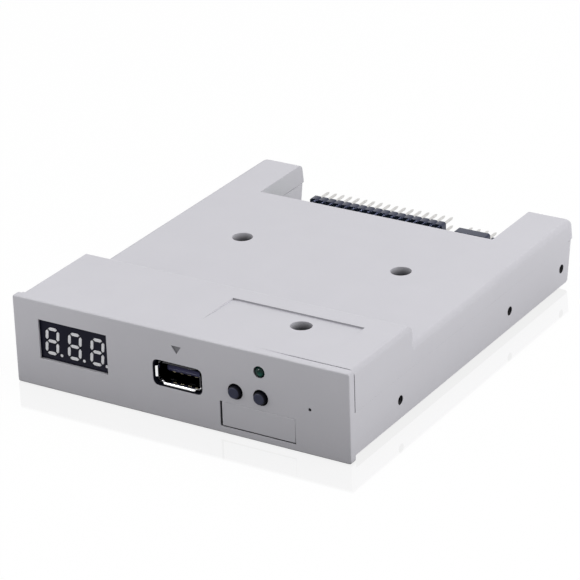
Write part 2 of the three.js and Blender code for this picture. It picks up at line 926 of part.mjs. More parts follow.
// Main circuit board, with holes for posts, screws and pins.
function makeBoard() {
  const cutRight = windowMiddle + displayBoardWidth / 2 + boardCutGap;
  const cutRear = displayBoardBack + boardCutGap;
  const shoulder = bayFront - boardShoulderGap;
  const plan = outline([
    [cutRight, boardFront],
    [boardRight, boardFront],
    [boardRight, shoulder],
    [bayRight - boardBayGap, shoulder],
    [bayRight - boardBayGap, boardRear],
    [bayLeft + boardBayGap, boardRear],
    [bayLeft + boardBayGap, shoulder],
    [boardLeft, shoulder],
    [boardLeft, cutRear],
    [cutRight, cutRear],
  ]);
  const low = boardUnder - overrun;
  const high = boardTop + overrun;
  const squareHole = (x, y, size) => {
    const half = size / 2 + pinFit;
    return box(x - half, x + half, y - half, y + half, low, high);
  };
  const holes = [];
  for (const { x, y } of coverScrews) {
    holes.push(rodUp(x, y, basePostDiameter + boardHoleClearance, low, high, 16));
  }
  for (const { x, y } of boardScrews) {
    holes.push(rodUp(x, y, boardScrewHole, low, high, 10));
  }
  for (const { leg } of interfaceRows) {
    for (let column = 0; column < interfaceColumns; column += 1) {
      holes.push(squareHole(columnX(interfaceMiddle, interfaceColumns, column), leg, pinSize));
    }
  }
  for (let column = 0; column < powerColumns; column += 1) {
    holes.push(squareHole(columnX(powerMiddle, powerColumns, column), powerLeg, pinSize));
  }
  for (const side of [-1, 1]) {
    holes.push(squareHole(lampMiddle + (side * lampLeadPitch) / 2, lampLeadLeg(), lampLeadSize));
  }
  const board = cut(solid(extrudeUp(plan, boardUnder, boardTop)), holes);
  addPart("main_circuit_board", board, greenBoard);
}

// Depth at which the lamp's leads turn down to the board.
function lampLeadLeg() {
  return lampLength - lampReach + lampLeadRun;
}

// Memory stick socket: folded steel shell with flared lips, insulator with its tongue, contacts.
function makeSocket() {
  const front = socketSetback;
  const rear = socketSetback + socketLength;
  const halfWidth = socketInnerWidth / 2;
  const halfHeight = socketInnerHeight / 2;
  const outer = solid(
    box(
      -halfWidth - socketSheet,
      halfWidth + socketSheet,
      front,
      rear,
      portRise - halfHeight - socketSheet,
      portRise + halfHeight + socketSheet,
    ),
  );
  const bore = box(
    -halfWidth,
    halfWidth,
    front - overrun,
    rear - socketSheet,
    portRise - halfHeight,
    portRise + halfHeight,
  );
  // Section of one lip, in depth and height from the sheet's inner face, flaring outwards.
  const lip = (reach, sign) =>
    outline([
      [front, sign * (reach + socketLipFlare)],
      [front, sign * (reach + socketSheet + socketLipFlare)],
      [front + socketLipLength, sign * (reach + socketSheet)],
      [front + socketLipLength, sign * reach],
    ]);
  const lips = [];
  const wide = halfWidth - socketLipInset;
  const tall = halfHeight - socketLipInset;
  for (const sign of [-1, 1]) {
    lips.push(extrudeAcross(lip(halfHeight, sign), -wide, wide).translate(0, 0, portRise));
    const sideways = extrudeAcross(lip(halfWidth, sign), -tall, tall);
    lips.push(sideways.rotateY(Math.PI / 2).translate(0, 0, portRise));
  }
  // The bore also takes the corner strips off, so that each lip stands free of the next.
  const strips = [];
  for (const sign of [-1, 1]) {
    const edge = sign * (halfWidth - socketLipInset);
    const outside = sign * (halfWidth + socketSheet + overrun);
    for (const level of [-1, 1]) {
      const low = level * (halfHeight - socketLipInset);
      const high = level * (halfHeight + socketSheet + overrun);
      strips.push(
        box(
          Math.min(edge, outside),
          Math.max(edge, outside),
          front - overrun,
          front + socketLipLength / 2,
          portRise + Math.min(low, high),
          portRise + Math.max(low, high),
        ),
      );
    }
  }
  const mouth = box(
    -halfWidth - socketSheet - overrun,
    halfWidth + socketSheet + overrun,
    front - overrun,
    front + socketLipLength,
    portRise - halfHeight - socketSheet - overrun,
    portRise + halfHeight + socketSheet + overrun,
  );
  const shell = cut(cut(outer, [mouth]).add(join(lips)), [bore, ...strips]);
  // The insulator's foot passes through the shell's underside at the rear.
  const insulatorFront = rear - socketSheet - insulatorDepth;
  const footGap = box(
    -tongueWidth / 2,
    tongueWidth / 2,
    insulatorFront + fit,
    rear + overrun,
    portRise - halfHeight - socketSheet - overrun,
    portRise - halfHeight + socketSheet,
  );
  const tabFront = front + socketTabSetback;
  const tabs = [-1, 1].map((side) => {
    const middle = side * (halfWidth + socketSheet / 2);
    const [left, right] = [middle - socketSheet / 2, middle + socketSheet / 2];
    return box(left, right, tabFront, tabFront + socketTabDepth, boardTop, portRise);
  });
  addPart("usb_socket_shell", cut(shell, [footGap]).add(join(tabs)), steel);

  const tongueFront = front + tongueSetback;
  const tongueBottom = tongueTop - tongueThickness;
  const blockRear = rear - socketSheet - fit;
  const tongue = outline([
    [tongueFront, tongueBottom + tongueBevel],
    [tongueFront + tongueBevel, tongueBottom],
    [insulatorFront + overrun, tongueBottom],
    [insulatorFront + overrun, tongueTop],
    [tongueFront + tongueBevel / 2, tongueTop],
    [tongueFront, tongueTop - tongueBevel / 2],
  ]);
  const insulator = join([
    extrudeAcross(tongue, -tongueWidth / 2, tongueWidth / 2),
    box(
      -halfWidth + fit,
      halfWidth - fit,
      insulatorFront,
      blockRear,
      portRise - halfHeight + fit,
      portRise + halfHeight - fit,
    ),
    box(
      -tongueWidth / 2 + fit,
      tongueWidth / 2 - fit,
      insulatorFront + 2 * fit,
      blockRear,
      boardTop,
      portRise,
    ),
  ]);
  const slotTop = tongueBottom;
  const slotBottom = slotTop - contactThickness;
  const legFront = blockRear - contactLegRun - contactThickness;
  const slots = [];
  for (let i = 0; i < 4; i += 1) {
    const x = (i - 1.5) * contactPitch;
    const half = contactWidth / 2 + pinFit;
    slots.push(
      box(x - half, x + half, insulatorFront - overrun, legFront + overrun, slotBottom - pinFit, slotTop),
      box(x - half, x + half, legFront - pinFit, legFront + overrun, boardTop - overrun, slotTop),
    );
  }
  addPart("usb_socket_insulator", cut(insulator, slots), blackPlastic);

  for (let i = 0; i < 4; i += 1) {
    const x = (i - 1.5) * contactPitch;
    const half = contactWidth / 2;
    const strip = join([
      box(
        x - half,
        x + half,
        tongueFront + contactSetback,
        legFront + contactThickness,
        slotBottom,
        slotTop,
      ),
      box(x - half, x + half, legFront, legFront + contactThickness, boardTop, slotTop),
    ]);
    addPart(`usb_contact_${i + 1}`, strip, gold);
  }
}

// One push button with the switch behind it.
function makeSwitch({ side, x }) {
  const half = switchSize / 2;
  const bodyFront = switchFront + switchPlate;
  const flangeFront = bodyFront + fit;
  const flangeBack = flangeFront + flangeThickness;
  const pipBack = flangeBack + pipLength;
  const domeFront = pipBack + buttonTravel + pinFit;
  const domeBack = domeFront + domeRise + domeThickness;
  const boreBack = domeBack;

  const stem = [
    [0, -buttonReach],
    [buttonDiameter / 2 - buttonRounding, -buttonReach],
    [buttonDiameter / 2 - buttonRounding / 4, -buttonReach + buttonRounding / 4],
    [buttonDiameter / 2, -buttonReach + buttonRounding],
    [buttonDiameter / 2, flangeFront],
    [flangeDiameter / 2, flangeFront],
    [flangeDiameter / 2, flangeBack],
    [pipDiameter / 2, flangeBack],
    [pipDiameter / 2, pipBack],
    [0, pipBack],
  ];
  addPart(`button_${side}`, solid(turnedBack(stem, x, buttonRise)), blackPlastic);

  const housing = cut(
    solid(box(x - half, x + half, bodyFront, switchRear, buttonRise - half, buttonRise + half)),
    [rodBack(x, buttonRise, switchBore, bodyFront - overrun, boreBack)],
  );
  addPart(`switch_housing_${side}`, housing, blackPlastic);

  const bracketOut = half + bracketThickness;
  const bracketRear = switchRear + bracketLength;
  const plate = cut(
    join([
      box(x - bracketOut, x + bracketOut, switchFront, bodyFront, buttonRise - half, buttonRise + half),
      box(x - bracketOut, x - half, switchFront, bracketRear, boardTop, buttonRise),
      box(x + half, x + bracketOut, switchFront, bracketRear, boardTop, buttonRise),
    ]),
    [rodBack(x, buttonRise, buttonDiameter + 2 * fit, switchFront - overrun, bodyFront + overrun)],
  );
  addPart(`switch_bracket_${side}`, plate, steel);

  // A shallow snap disc: a curved sheet whose rim stands on the bottom of the bore.
  const rim = switchBore / 2 - fit;
  const dome = [
    [0, domeFront],
    [rim / 2, domeFront + domeRise / 4],
    [rim, domeFront + domeRise],
    [rim, domeBack],
    [rim - domeThickness, domeBack],
    [rim / 2, domeFront + domeRise / 4 + domeThickness],
    [0, domeFront + domeThickness],
  ];
  addPart(`switch_dome_${side}`, solid(turnedBack(dome, x, buttonRise, 16)), steel);
}

// Status lamp, with its two leads bent down to the board.
function makeLamp() {
  const radius = lampDiameter / 2;
  const back = lampLength - lampReach;
  const dome = Array.from({ length: domeSteps + 1 }, (_, i) => {
    const turn = (i * Math.PI) / (2 * domeSteps);
    return [radius * Math.sin(turn), -lampReach + radius * (1 - Math.cos(turn))];
  });
  const profile = [
    ...dome,
    [radius, back - lampFlangeThickness],
    [lampFlange / 2, back - lampFlangeThickness],
    [lampFlange / 2, back],
    [0, back],
  ];
  addPart("status_lamp", solid(turnedBack(profile, lampMiddle, lampRise)), greenLens);

  const half = lampLeadSize / 2;
  const leg = lampLeadLeg();
  for (const side of [-1, 1]) {
    const x = lampMiddle + (side * lampLeadPitch) / 2;
    const lead = join([
      box(x - half, x + half, back, leg + half, lampRise - half, lampRise + half),
      box(x - half, x + half, leg - half, leg + half, boardUnder - solderTail, lampRise + half),
    ]);
    addPart(side < 0 ? "lamp_lead_left" : "lamp_lead_right", lead, steel);
  }
}

// Outlines of the seven segments and the point of one digit, leaning as the digit does.
function digitShapes(middle, margin) {
  const w = digitWidth / 2;
  const h = digitHeight / 2;
  const t = segmentWidth;
  const gap = segmentGap / 2;
  const lower = windowRise - digitDrop;
  const leaning = (x, z) => [middle + x + (digitLean * z) / digitHeight, lower + z];
  const across = (z, inner) => {
    const end = w - gap - margin;
    return outline(
      [
        [-end + inner, z - t / 2 + margin],
        [end - inner, z - t / 2 + margin],
        [end - t / 2, z],
        [end - inner, z + t / 2 - margin],
        [-end + inner, z + t / 2 - margin],
        [-end + t / 2, z],
      ].map(([x, y]) => leaning(x, y)),
    );
  };
  const upright = (x, z0, z1) => {
    const bottom = z0 + gap + margin;
    const top = z1 - gap - margin;
    return outline(
      [
        [x, bottom],
        [x + t / 2 - margin, bottom + t / 2],
        [x + t / 2 - margin, top - t / 2],
        [x, top],
        [x - t / 2 + margin, top - t / 2],
        [x - t / 2 + margin, bottom + t / 2],
      ].map(([px, py]) => leaning(px, py)),
    );
  };
  const side = w - t / 2;
  const level = h - t / 2;
  const point = leaning(w + pointReach, -level);
  return [
    across(level, t),
    across(0, t),
    across(-level, t),
    upright(-side, 0, level),
    upright(side, 0, level),
    upright(-side, -level, 0),
    upright(side, -level, 0),
    circle(...point, pointDiameter - 2 * margin, pointSides),
  ];
}

// Middles of the three digits. The last point lies at the window's edge.
const digitMiddles = [-1, 0, 1].map((place) => windowMiddle + place * digitPitch);

// Display: black shell with its segments' openings, and the light filling that shows in them.
function makeDisplay() {
  const back = displayBack;
  const faceBack = displaySetback + displayFace;
  const block = (margin, y0, y1) => {
    const width = displayWidth - 2 * margin;
    const height = displayHeight - 2 * margin;
    return extrudeBack(rectangle(windowMiddle, windowRise, width, height), y0, y1);
  };
  const shapes = (margin) => digitMiddles.flatMap((middle) => digitShapes(middle, margin));
  const holes = shapes(0).map((shape) => extrudeBack(shape, 0, back));
  holes.push(block(displayWall, faceBack, back + overrun));
  addPart("display_shell", cut(solid(block(0, displaySetback, back)), holes), blackPlastic);

  const filling = block(displayWall + segmentFit, faceBack + segmentFit, back);
  const raised = shapes(segmentFit).map((shape) =>
    extrudeBack(shape, displaySetback, faceBack + 2 * segmentFit),
  );
  addPart("display_segments", join([filling, ...raised]), segmentWhite);

  const board = extrudeBack(
    rectangle(windowMiddle, windowRise, displayBoardWidth, displayBoardHeight),
    back,
    displayBoardBack,
  );
  const screwHoles = [-1, 1].map((side) =>
    rodBack(windowMiddle + side * displayPostSpread, windowRise, displayScrewHole, 0, caseLength, 10),
  );
  addPart("display_board", cut(solid(board), screwHoles), greenBoard);
}

// Small boxes along a row, as the stub leads of a chip lying on a face at height `ground`.
function stubs(count, spacing, width, from, to, ground, height) {
  return Array.from({ length: count }, (_, i) => {
    const x = (i - (count - 1) / 2) * spacing;
    return box(x - width / 2, x + width / 2, from, to, ground, ground + height);
  });
}

// A chip with leads along its two long sides, lying at z = 0 around the origin.
function chip(length, width, height, leads, spacing, leadWidth) {
  const lifted = leadFoot / 4;
  return join([
    box(-length / 2, length / 2, -width / 2, width / 2, lifted, height),
    ...stubs(leads, spacing, leadWidth, width / 2 - leadFoot, width / 2 + leadStub, 0, leadFoot),
    ...stubs(leads, spacing, leadWidth, -width / 2 - leadStub, -width / 2 + leadFoot, 0, leadFoot),
  ]);
}

function makeChips() {
  const half = controllerSize / 2;
  const sides = chip(
    controllerSize,
    controllerSize,
    controllerHeight,
    controllerLeads,
    controllerLeadPitch,
    controllerLeadWidth,
  );
  const controller = sides.add(sides.rotate([0, 0, 90]));
  const dot = solid(
    rodUp(-half + leadStub, half - leadStub, leadStub, controllerHeight - leadFoot / 4, overrun + controllerHeight, 10),
  );
  addPart(
    "controller_chip",
    controller.subtract(dot).translate([controllerX, controllerY, boardTop]),
    chipBlack,
  );
  for (const side of [-1, 1]) {
    const buffer = chip(
      bufferLength,
      bufferWidth,
      bufferHeight,
      bufferLeads,
      bufferLeadPitch,
      bufferLeadWidth,
    ).translate([interfaceMiddle + side * bufferSpread, bufferY, boardTop]);
    addPart(side < 0 ? "buffer_chip_left" : "buffer_chip_right", buffer, chipBlack);
  }
  const driver = chip(
    driverLength,
    bufferWidth,
    bufferHeight,
    bufferLeads + 1,
    bufferLeadPitch,
    bufferLeadWidth,
  )
    .rotate([-90, 0, 0])
    .translate([windowMiddle, displayBoardBack, driverRise]);
  addPart("display_driver_chip", driver, chipBlack);
}

function makeBoardParts() {
  const crystalShape = rectangle(crystalX, crystalY, crystalLength, crystalWidth, crystalWidth / 2);
  const crystal = roundedBlock(
    crystalShape,
    boardTop,
    boardTop + crystalHeight,
    crystalWidth / 12,
    3,
  );
  addPart("crystal_can", solid(crystal), steel);

  const tabFront = regulatorY - regulatorWidth / 2 - leadStub;
  const regulator = join([
    box(
      regulatorX - regulatorLength / 2,
      regulatorX + regulatorLength / 2,
      regulatorY - regulatorWidth / 2,
      regulatorY + regulatorWidth / 2,
      boardTop,
      boardTop + regulatorHeight,
    ),
    box(
      regulatorX - regulatorTab / 2,
      regulatorX + regulatorTab / 2,
      tabFront,
      regulatorY,
      boardTop,
      boardTop + regulatorTabThickness,
    ),
    ...stubs(
      3,
      regulatorLeadPitch,
      regulatorLeadWidth,
      0,
      regulatorWidth / 2 + leadStub,
      boardTop,
      regulatorTabThickness,
    ).map((stub) => stub.translate(regulatorX, regulatorY, 0)),
  ]);
  addPart("voltage_regulator", regulator, chipBlack);

  for (const [i, name] of ["electrolytic_capacitor_front", "electrolytic_capacitor_rear"].entries()) {
    const y = capacitorY + i * capacitorPitch;
    const canBase = boardTop + capacitorBaseHeight;
    const canTop = boardTop + capacitorHeight;
    const radius = capacitorDiameter / 2;
    const can = turnedUp(
      [
        [0, canBase - capacitorGroove],
        [radius, canBase - capacitorGroove],
        [radius, canBase + capacitorGroove],
        [radius - capacitorGroove, canBase + 2 * capacitorGroove],
        [radius, canBase + 3 * capacitorGroove],
        [radius, canTop - capacitorGroove],
        [radius - capacitorGroove, canTop],
        [0, canTop],
      ],
      capacitorX,
      y,
    );
    const foot = extrudeUp(
      rectangle(capacitorX, y, capacitorBase, capacitorBase, capacitorBase / 8),
      boardTop,
      canBase,
      1,
    );
    addPart(name, join([can, foot]), aluminium);
  }

  for (const [i, name] of ["resistor_network_left", "resistor_network_right"].entries()) {
    const x = networkX + i * networkPitch;
    const network = roundedBlock(
      rectangle(x, networkY, networkLength, networkWidth),
      boardTop,
      boardTop + networkHeight,
      networkHeight / 12,
      1,
    );
    addPart(name, solid(network), blackPlastic);
  }
}

// Section of a header housing in X and Z: columns of blocks with cut corners, over some rows.
function headerSection(middle, columns, bottom, rows) {
  const left = middle - (columns * pitch) / 2;
  const top = bottom + rows * pitch;
  const corners = [];
  for (let column = 0; column < columns; column += 1) {
    const x = left + column * pitch;
    corners.push([x, bottom + headerCut], [x + headerCut, bottom], [x + pitch - headerCut, bottom]);
  }
  corners.push([left + columns * pitch, bottom + headerCut]);
  for (let column = columns - 1; column >= 0; column -= 1) {
    const x = left + column * pitch;
    corners.push([x + pitch, top - headerCut], [x + pitch - headerCut, top], [x + headerCut, top]);
  }
  corners.push([left, top - headerCut]);
  return outline(corners);
}

// A bent pin in Y and Z: its point to the rear, its leg down through the board.
function bentPin(tip, rise, leg) {
  const half = pinSize / 2;
  const tail = boardUnder - solderTail;
  return outline([
    [leg - half, tail],
    [leg + half, tail],
    [leg + half, rise - half],
    [tip - pinTip, rise - half],
    [tip, rise - half / 2],
    [tip, rise + half / 2],
    [tip - pinTip, rise + half],
    [leg - half, rise + half],
  ]);
}

// A row of bent pins, held together by a strip inside the housing.
function pinRow(middle, columns, tip, rise, leg, stripMiddle) {
  const half = pinSize / 2;
  const pins = Array.from({ length: columns }, (_, column) => {
    const x = columnX(middle, columns, column);
    return extrudeAcross(bentPin(tip, rise, leg), x - half, x + half);
  });
  const strip = box(
    columnX(middle, columns, 0),
    columnX(middle, columns, columns - 1),
    stripMiddle - stripThickness / 2,
    stripMiddle + stripThickness / 2,
    rise - half / 2,
    rise + half / 2,
  );
  return join([...pins, strip]);
}

// The holes of a row in a housing, with the slot for the strip.
function rowHoles(middle, columns, rise, front, rear, stripMiddle) {
  const half = pinSize / 2 + pinFit;
  const holes = Array.from({ length: columns }, (_, column) => {
    const x = columnX(middle, columns, column);
    return box(x - half, x + half, front - overrun, rear + overrun, rise - half, rise + half);
  });
  const slot = box(
    columnX(middle, columns, 0),
    columnX(middle, columns, columns - 1),
    stripMiddle - stripThickness / 2 - pinFit,
    stripMiddle + stripThickness / 2 + pinFit,
    rise - pinSize / 4 - pinFit,
    rise + pinSize / 4 + pinFit,
  );
  return [...holes, slot];
}

function makeInterfaceHeader() {
  const section = headerSection(interfaceMiddle, interfaceColumns, boardTop, interfaceRows.length);
  const housing = solid(extrudeBack(section, interfaceHousingFront, interfaceFace));
  const stripMiddle = interfaceFace - pitch / 2;
  const holes = interfaceRows.flatMap(({ rise }) =>
    rowHoles(
      interfaceMiddle,
      interfaceColumns,
      rise,
      interfaceHousingFront,
      interfaceFace,
      stripMiddle,
    ),
  );
  addPart("interface_header_housing", cut(housing, holes), blackPlastic);
  for (const { name, rise, leg } of interfaceRows) {
    const tip = interfaceFace + interfaceReach;
    const pins = pinRow(interfaceMiddle, interfaceColumns, tip, rise, leg, stripMiddle);
    addPart(`interface_header_${name}_pins`, pins, steel);
  }
}

function makePowerHeader() {
  const left = powerMiddle - powerWidth / 2;
  const right = powerMiddle + powerWidth / 2;
  const rise = boardTop + powerPinRise;
  const stripMiddle = powerFace - powerDepth / 2;
  const shelfInset = pitch / 4;
  const housing = join([
    extrudeBack(
      rectangle(
        powerMiddle,
        boardTop + powerHeight / 2,
        powerWidth,
        powerHeight,
        headerCut,
      ),
      powerHousingFront,
      powerFace,
      1,
    ),
    box(
      left + shelfInset,
      right - shelfInset,
      powerFace - overrun,
      powerFace + powerShelfReach,
      boardTop,
      boardTop + powerShelf,
    ),
  ]);
  const holes = rowHoles(powerMiddle, powerColumns, rise, powerHousingFront, powerFace, stripMiddle);
  addPart("power_header_housing", cut(housing, holes), blackPlastic);
  const tip = powerFace + powerReach;
  const pins = pinRow(powerMiddle, powerColumns, tip, rise, powerLeg, stripMiddle);
  addPart("power_header_pins", pins, steel);
}

// Jumper block: two rows of upright pins, joined by a strip inside the housing, and two caps.
function makeJumpers() {
  const half = pinSize / 2;
  const rows = [jumperY - pitch / 2, jumperY + pitch / 2];
  const top = boardTop + jumperPinHeight;
  const middleRise = boardTop + pitch / 2;
  const width = jumperColumns * pitch;
  const pins = [];
  const holes = [];
  for (const y of rows) {
    for (let column = 0; column < jumperColumns; column += 1) {
      const x = columnX(jumperX, jumperColumns, column);
      const grown = half + pinFit;
      pins.push(box(x - half, x + half, y - half, y + half, boardTop, top));
      holes.push(
        box(x - grown, x + grown, y - grown, y + grown, boardTop - overrun, boardTop + pitch + overrun),
      );
    }
  }
  const strip = (grow) => {
    const reach = half / 2 + grow;
    const first = columnX(jumperX, jumperColumns, 0);
    const last = columnX(jumperX, jumperColumns, jumperColumns - 1);
    const rowStrips = rows.map((y) =>
      box(first - grow, last + grow, y - reach, y + reach, middleRise - reach, middleRise + reach),
    );
    const tie = box(
      jumperX - reach,
      jumperX + reach,
      rows[0] - grow,
      rows[1] + grow,
      middleRise - reach,
      middleRise + reach,
    );
    return [...rowStrips, tie];
  };
  const housing = extrudeUp(
    rectangle(jumperX, jumperY, width, 2 * pitch, headerCut),
    boardTop,
    boardTop + pitch,
    1,
  );
  addPart("jumper_block_housing", cut(solid(housing), [...holes, ...strip(pinFit)]), blackPlastic);
  addPart("jumper_block_pins", join([...pins, ...strip(0)]), gold);

  for (const [i, name] of ["jumper_cap_left", "jumper_cap_right"].entries()) {
    const column = 1 + 2 * i;
    const x = columnX(jumperX, jumperColumns, column);
    const reach = pitch / 2 - pinFit;
    const grown = half + pinFit;
    const bottom = boardTop + pitch;
    const cap = solid(
      box(x - reach, x + reach, jumperY - 2 * reach, jumperY + 2 * reach, bottom, bottom + capHeight),
    );
    const sockets = rows.map((y) =>
      box(
        x - grown,
        x + grown,
        y - grown,
        y + grown,
        bottom - overrun,
        bottom + capHeight - capWall,
      ),
    );
    sockets.push(
      box(
        x - grown,
        x + grown,
        rows[0],
        rows[1],
        bottom + capHeight - 2 * capWall,
        bottom + capHeight + overrun,
      ),
    );
    addPart(name, cut(cap, sockets), blackPlastic);
  }
}

// An open socket standing at z = 0 around the origin, and the plug that goes in it.
function leadSocket() {
  const width = plugWidth + 2 * (fit + socketWall);
  const thickness = plugThickness + 2 * (fit + socketWall);
  const height = socketBase + socketCavity;
  const reach = plugWidth / 2 + fit;
  const depth = plugThickness / 2 + fit;
  return cut(
    solid(box(-width / 2, width / 2, -thickness / 2, thickness / 2, 0, height)),
    [box(-reach, reach, -depth, depth, socketBase, height + overrun)],
  );
}

function leadPlug() {
  const bottom = socketBase;
  return solid(
    box(
      -plugWidth / 2,
      plugWidth / 2,
      -plugThickness / 2,
      plugThickness / 2,
      bottom,
      bottom + plugLength,
    ),
  );
}

// The lead's connectors and the flat four-wire lead between them.
function makeDisplayLead() {
  const ontoDisplay = (body) =>
    body.rotate([-90, 0, 0]).translate([windowMiddle, displayBoardBack, displaySocketRise]);
  const ontoBoard = (body) => body.translate([windowMiddle, leadSocketY, boardTop]);
  addPart("display_lead_front_socket", ontoDisplay(leadSocket()), whitePlastic);
  addPart("display_lead_front_plug", ontoDisplay(leadPlug()), whitePlastic);
  addPart("display_lead_rear_socket", ontoBoard(leadSocket()), whitePlastic);
  addPart("display_lead_rear_plug", ontoBoard(leadPlug()), whitePlastic);

  const start = displayBoardBack + socketBase + plugLength;
  const end = boardTop + socketBase + plugLength;
  const straight = wireDiameter;
  const route = [
    [start, displaySocketRise],
    [start + straight, displaySocketRise],
    [start + straight + leadBulge, displaySocketRise + leadBulge / 2],
    [leadSocketY - leadBulge, displaySocketRise + leadBulge],
    [leadSocketY, end + straight + leadBulge / 2],
    [leadSocketY, end + straight],
    [leadSocketY, end],
  ];
  const path = new THREE.CatmullRomCurve3(
    route.map(([y, z]) => new THREE.Vector3(windowMiddle, y, z)),
    false,
    "centripetal",
  );
  const crest = wireDiameter / 2;
  const valley = wireWeb / 2;
  const section = [];
  for (const sign of [1, -1]) {
    for (let i = 0; i < 2 * leadWires; i += 1) {
      const across = sign * (i - leadWires) * (leadPitch / 2);
      section.push(new THREE.Vector2(across, sign * (i % 2 ? crest : valley)));
    }
  }
  const ribbon = new THREE.ExtrudeGeometry(new THREE.Shape(section), {
    steps: 14,
    extrudePath: path,
  });
  addPart("display_lead", solid(ribbon), greyWire);
}

makeBase();
makeCover();
makeScrews();
makeBoard();
makeSocket();
buttons.forEach(makeSwitch);
makeLamp();
makeDisplay();
makeChips();
makeBoardParts();
makeInterfaceHeader();
makePowerHeader();
makeJumpers();
makeDisplayLead();

drive.position.y = -(caseLength - buttonReach) / 2;

export default drive;
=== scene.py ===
"""Looks of a floppy drive emulator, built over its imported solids.

Metres. X across the front panel, +Y to the rear, +Z up. New pieces are surfaces computed on
grids with numpy; the two halves of the case are copies of their solids with broken edges.
"""

import logging
import math
from collections.abc import Callable, Sequence
from dataclasses import dataclass
from enum import Enum

import bmesh
import bpy
import numpy as np
from mathutils import Matrix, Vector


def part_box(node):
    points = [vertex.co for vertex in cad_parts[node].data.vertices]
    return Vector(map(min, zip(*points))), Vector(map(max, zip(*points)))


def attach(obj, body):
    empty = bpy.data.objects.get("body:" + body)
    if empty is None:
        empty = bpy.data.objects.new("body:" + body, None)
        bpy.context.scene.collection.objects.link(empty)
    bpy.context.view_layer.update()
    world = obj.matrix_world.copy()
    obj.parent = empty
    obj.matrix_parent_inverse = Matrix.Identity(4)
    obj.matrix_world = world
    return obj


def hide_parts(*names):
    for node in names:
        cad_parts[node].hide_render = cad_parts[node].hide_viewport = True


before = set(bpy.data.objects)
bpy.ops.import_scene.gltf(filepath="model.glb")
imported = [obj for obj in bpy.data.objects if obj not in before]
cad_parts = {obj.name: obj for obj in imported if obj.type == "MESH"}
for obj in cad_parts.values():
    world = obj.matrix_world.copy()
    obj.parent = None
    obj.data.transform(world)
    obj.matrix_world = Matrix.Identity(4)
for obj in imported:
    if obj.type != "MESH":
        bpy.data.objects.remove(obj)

log = logging.getLogger("drive")

MM = 0.001
CASE_BODY = "case"

Socket = bpy.types.NodeSocket
Tone = tuple[float, float, float]


# Mesh building


def grid_piece(name: str, points: np.ndarray, wrap: bool = True, sharp: float = 35.0) -> bpy.types.Object:
    """Makes a piece from one grid of points, or from several equal grids.

    A face joins each point to its neighbours along both parameters of the grid. Points that
    coincide are merged, which closes seams and poles, and the faces are turned outwards.

    Args:
        name: Name of the piece.
        points: Array of (rows, columns, 3), or of (grids, rows, columns, 3), in metres.
        wrap: Whether the last column joins the first.
        sharp: Angle in degrees above which an edge stays sharp.

    Returns:
        The piece's object, at the origin.
    """
    if points.ndim == 3:
        points = points[None]
    grids, rows, columns = points.shape[:3]
    index = np.arange(grids * rows * columns).reshape(grids, rows, columns)
    if wrap:
        index = np.concatenate([index, index[:, :, :1]], axis=2)
    corners = [index[:, :-1, :-1], index[:, :-1, 1:], index[:, 1:, 1:], index[:, 1:, :-1]]
    faces = np.stack(corners, axis=-1).reshape(-1, 4)
    mesh = bpy.data.meshes.new(name)
    mesh.from_pydata(points.reshape(-1, 3).tolist(), [], faces.tolist())
    work = bmesh.new()
    work.from_mesh(mesh)
    bmesh.ops.remove_doubles(work, verts=work.verts[:], dist=1e-7)
    bmesh.ops.recalc_face_normals(work, faces=work.faces[:])
    work.to_mesh(mesh)
    work.free()
    mesh.shade_smooth()
    mesh.set_sharp_from_angle(angle=math.radians(sharp))
    piece = bpy.data.objects.new(name, mesh)
    bpy.context.scene.collection.objects.link(piece)
    return piece


class Axis(Enum):
    """Direction in which a turned shape's profile runs."""

    SIDE = 0
    REAR = 1
    UP = 2


def wound(radius: np.ndarray, level: np.ndarray, centre: Sequence[float], axis: Axis) -> np.ndarray:
    """Winds a surface about an axis, from a radius and a level for each row and column.

    A point is the centre, plus the radius times the cosine and sine of the column's turn in
    the plane across the axis, plus the level along the axis.

    Args:
        radius: Array of (rows, steps), or of (rows, 1).
        level: Array of (rows, steps), or of (rows, 1): place along the axis.
        centre: The two coordinates of the axis, in the order x, y, z without its own direction.
        axis: The axis's direction.

    Returns:
        Array of (rows, steps, 3).
    """
    turn = np.linspace(0, 2 * np.pi, radius.shape[1], endpoint=False)
    across = [centre[0] + radius * np.cos(turn), centre[1] + radius * np.sin(turn)]
    across.insert(axis.value, np.broadcast_to(level, radius.shape))
    return np.stack(across, axis=-1)


def turned(profile: np.ndarray, centre: Sequence[float], axis: Axis, steps: int) -> np.ndarray:
    """Turns a profile of (radius, level) rows about an axis into (rows, steps, 3) points."""
    return wound(np.repeat(profile[:, :1], steps, axis=1), profile[:, 1:], centre, axis)


def capped(tube: np.ndarray) -> np.ndarray:
    """Closes a tube of (rows, columns, 3) points by a pole in the middle of each end."""
    ends = [np.broadcast_to(tube[end].mean(axis=0), (1, *tube.shape[1:])) for end in (0, -1)]
    return np.concatenate([ends[0], tube, ends[1]])


def smoothstep(low: float, high: float, value: np.ndarray) -> np.ndarray:
    """Rises from 0 at low to 1 at high, as three times the square less twice the cube."""
    share = np.clip((value - low) / (high - low), 0, 1)
    return share * share * (3 - 2 * share)


def arc(centre: Sequence[float], radius: float, start: float, end: float, steps: int) -> np.ndarray:
    """Points on a circle's arc: the centre plus the radius at each angle, in degrees."""
    angle = np.radians(np.linspace(start, end, steps))
    return np.stack([centre[0] + radius * np.cos(angle), centre[1] + radius * np.sin(angle)], axis=-1)


@dataclass(frozen=True)
class Box:
    """Lowest and highest corners of a CAD node, in metres."""

    low: np.ndarray
    high: np.ndarray

    @classmethod
    def of(cls, node: str) -> "Box":
        """Measures a node at rest."""
        low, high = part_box(node)
        return cls(np.array(low), np.array(high))

    @property
    def middle(self) -> np.ndarray:
        """Middle of the box."""
        return (self.low + self.high) / 2

    @property
    def size(self) -> np.ndarray:
        """Lengths of the box's edges."""
        return self.high - self.low


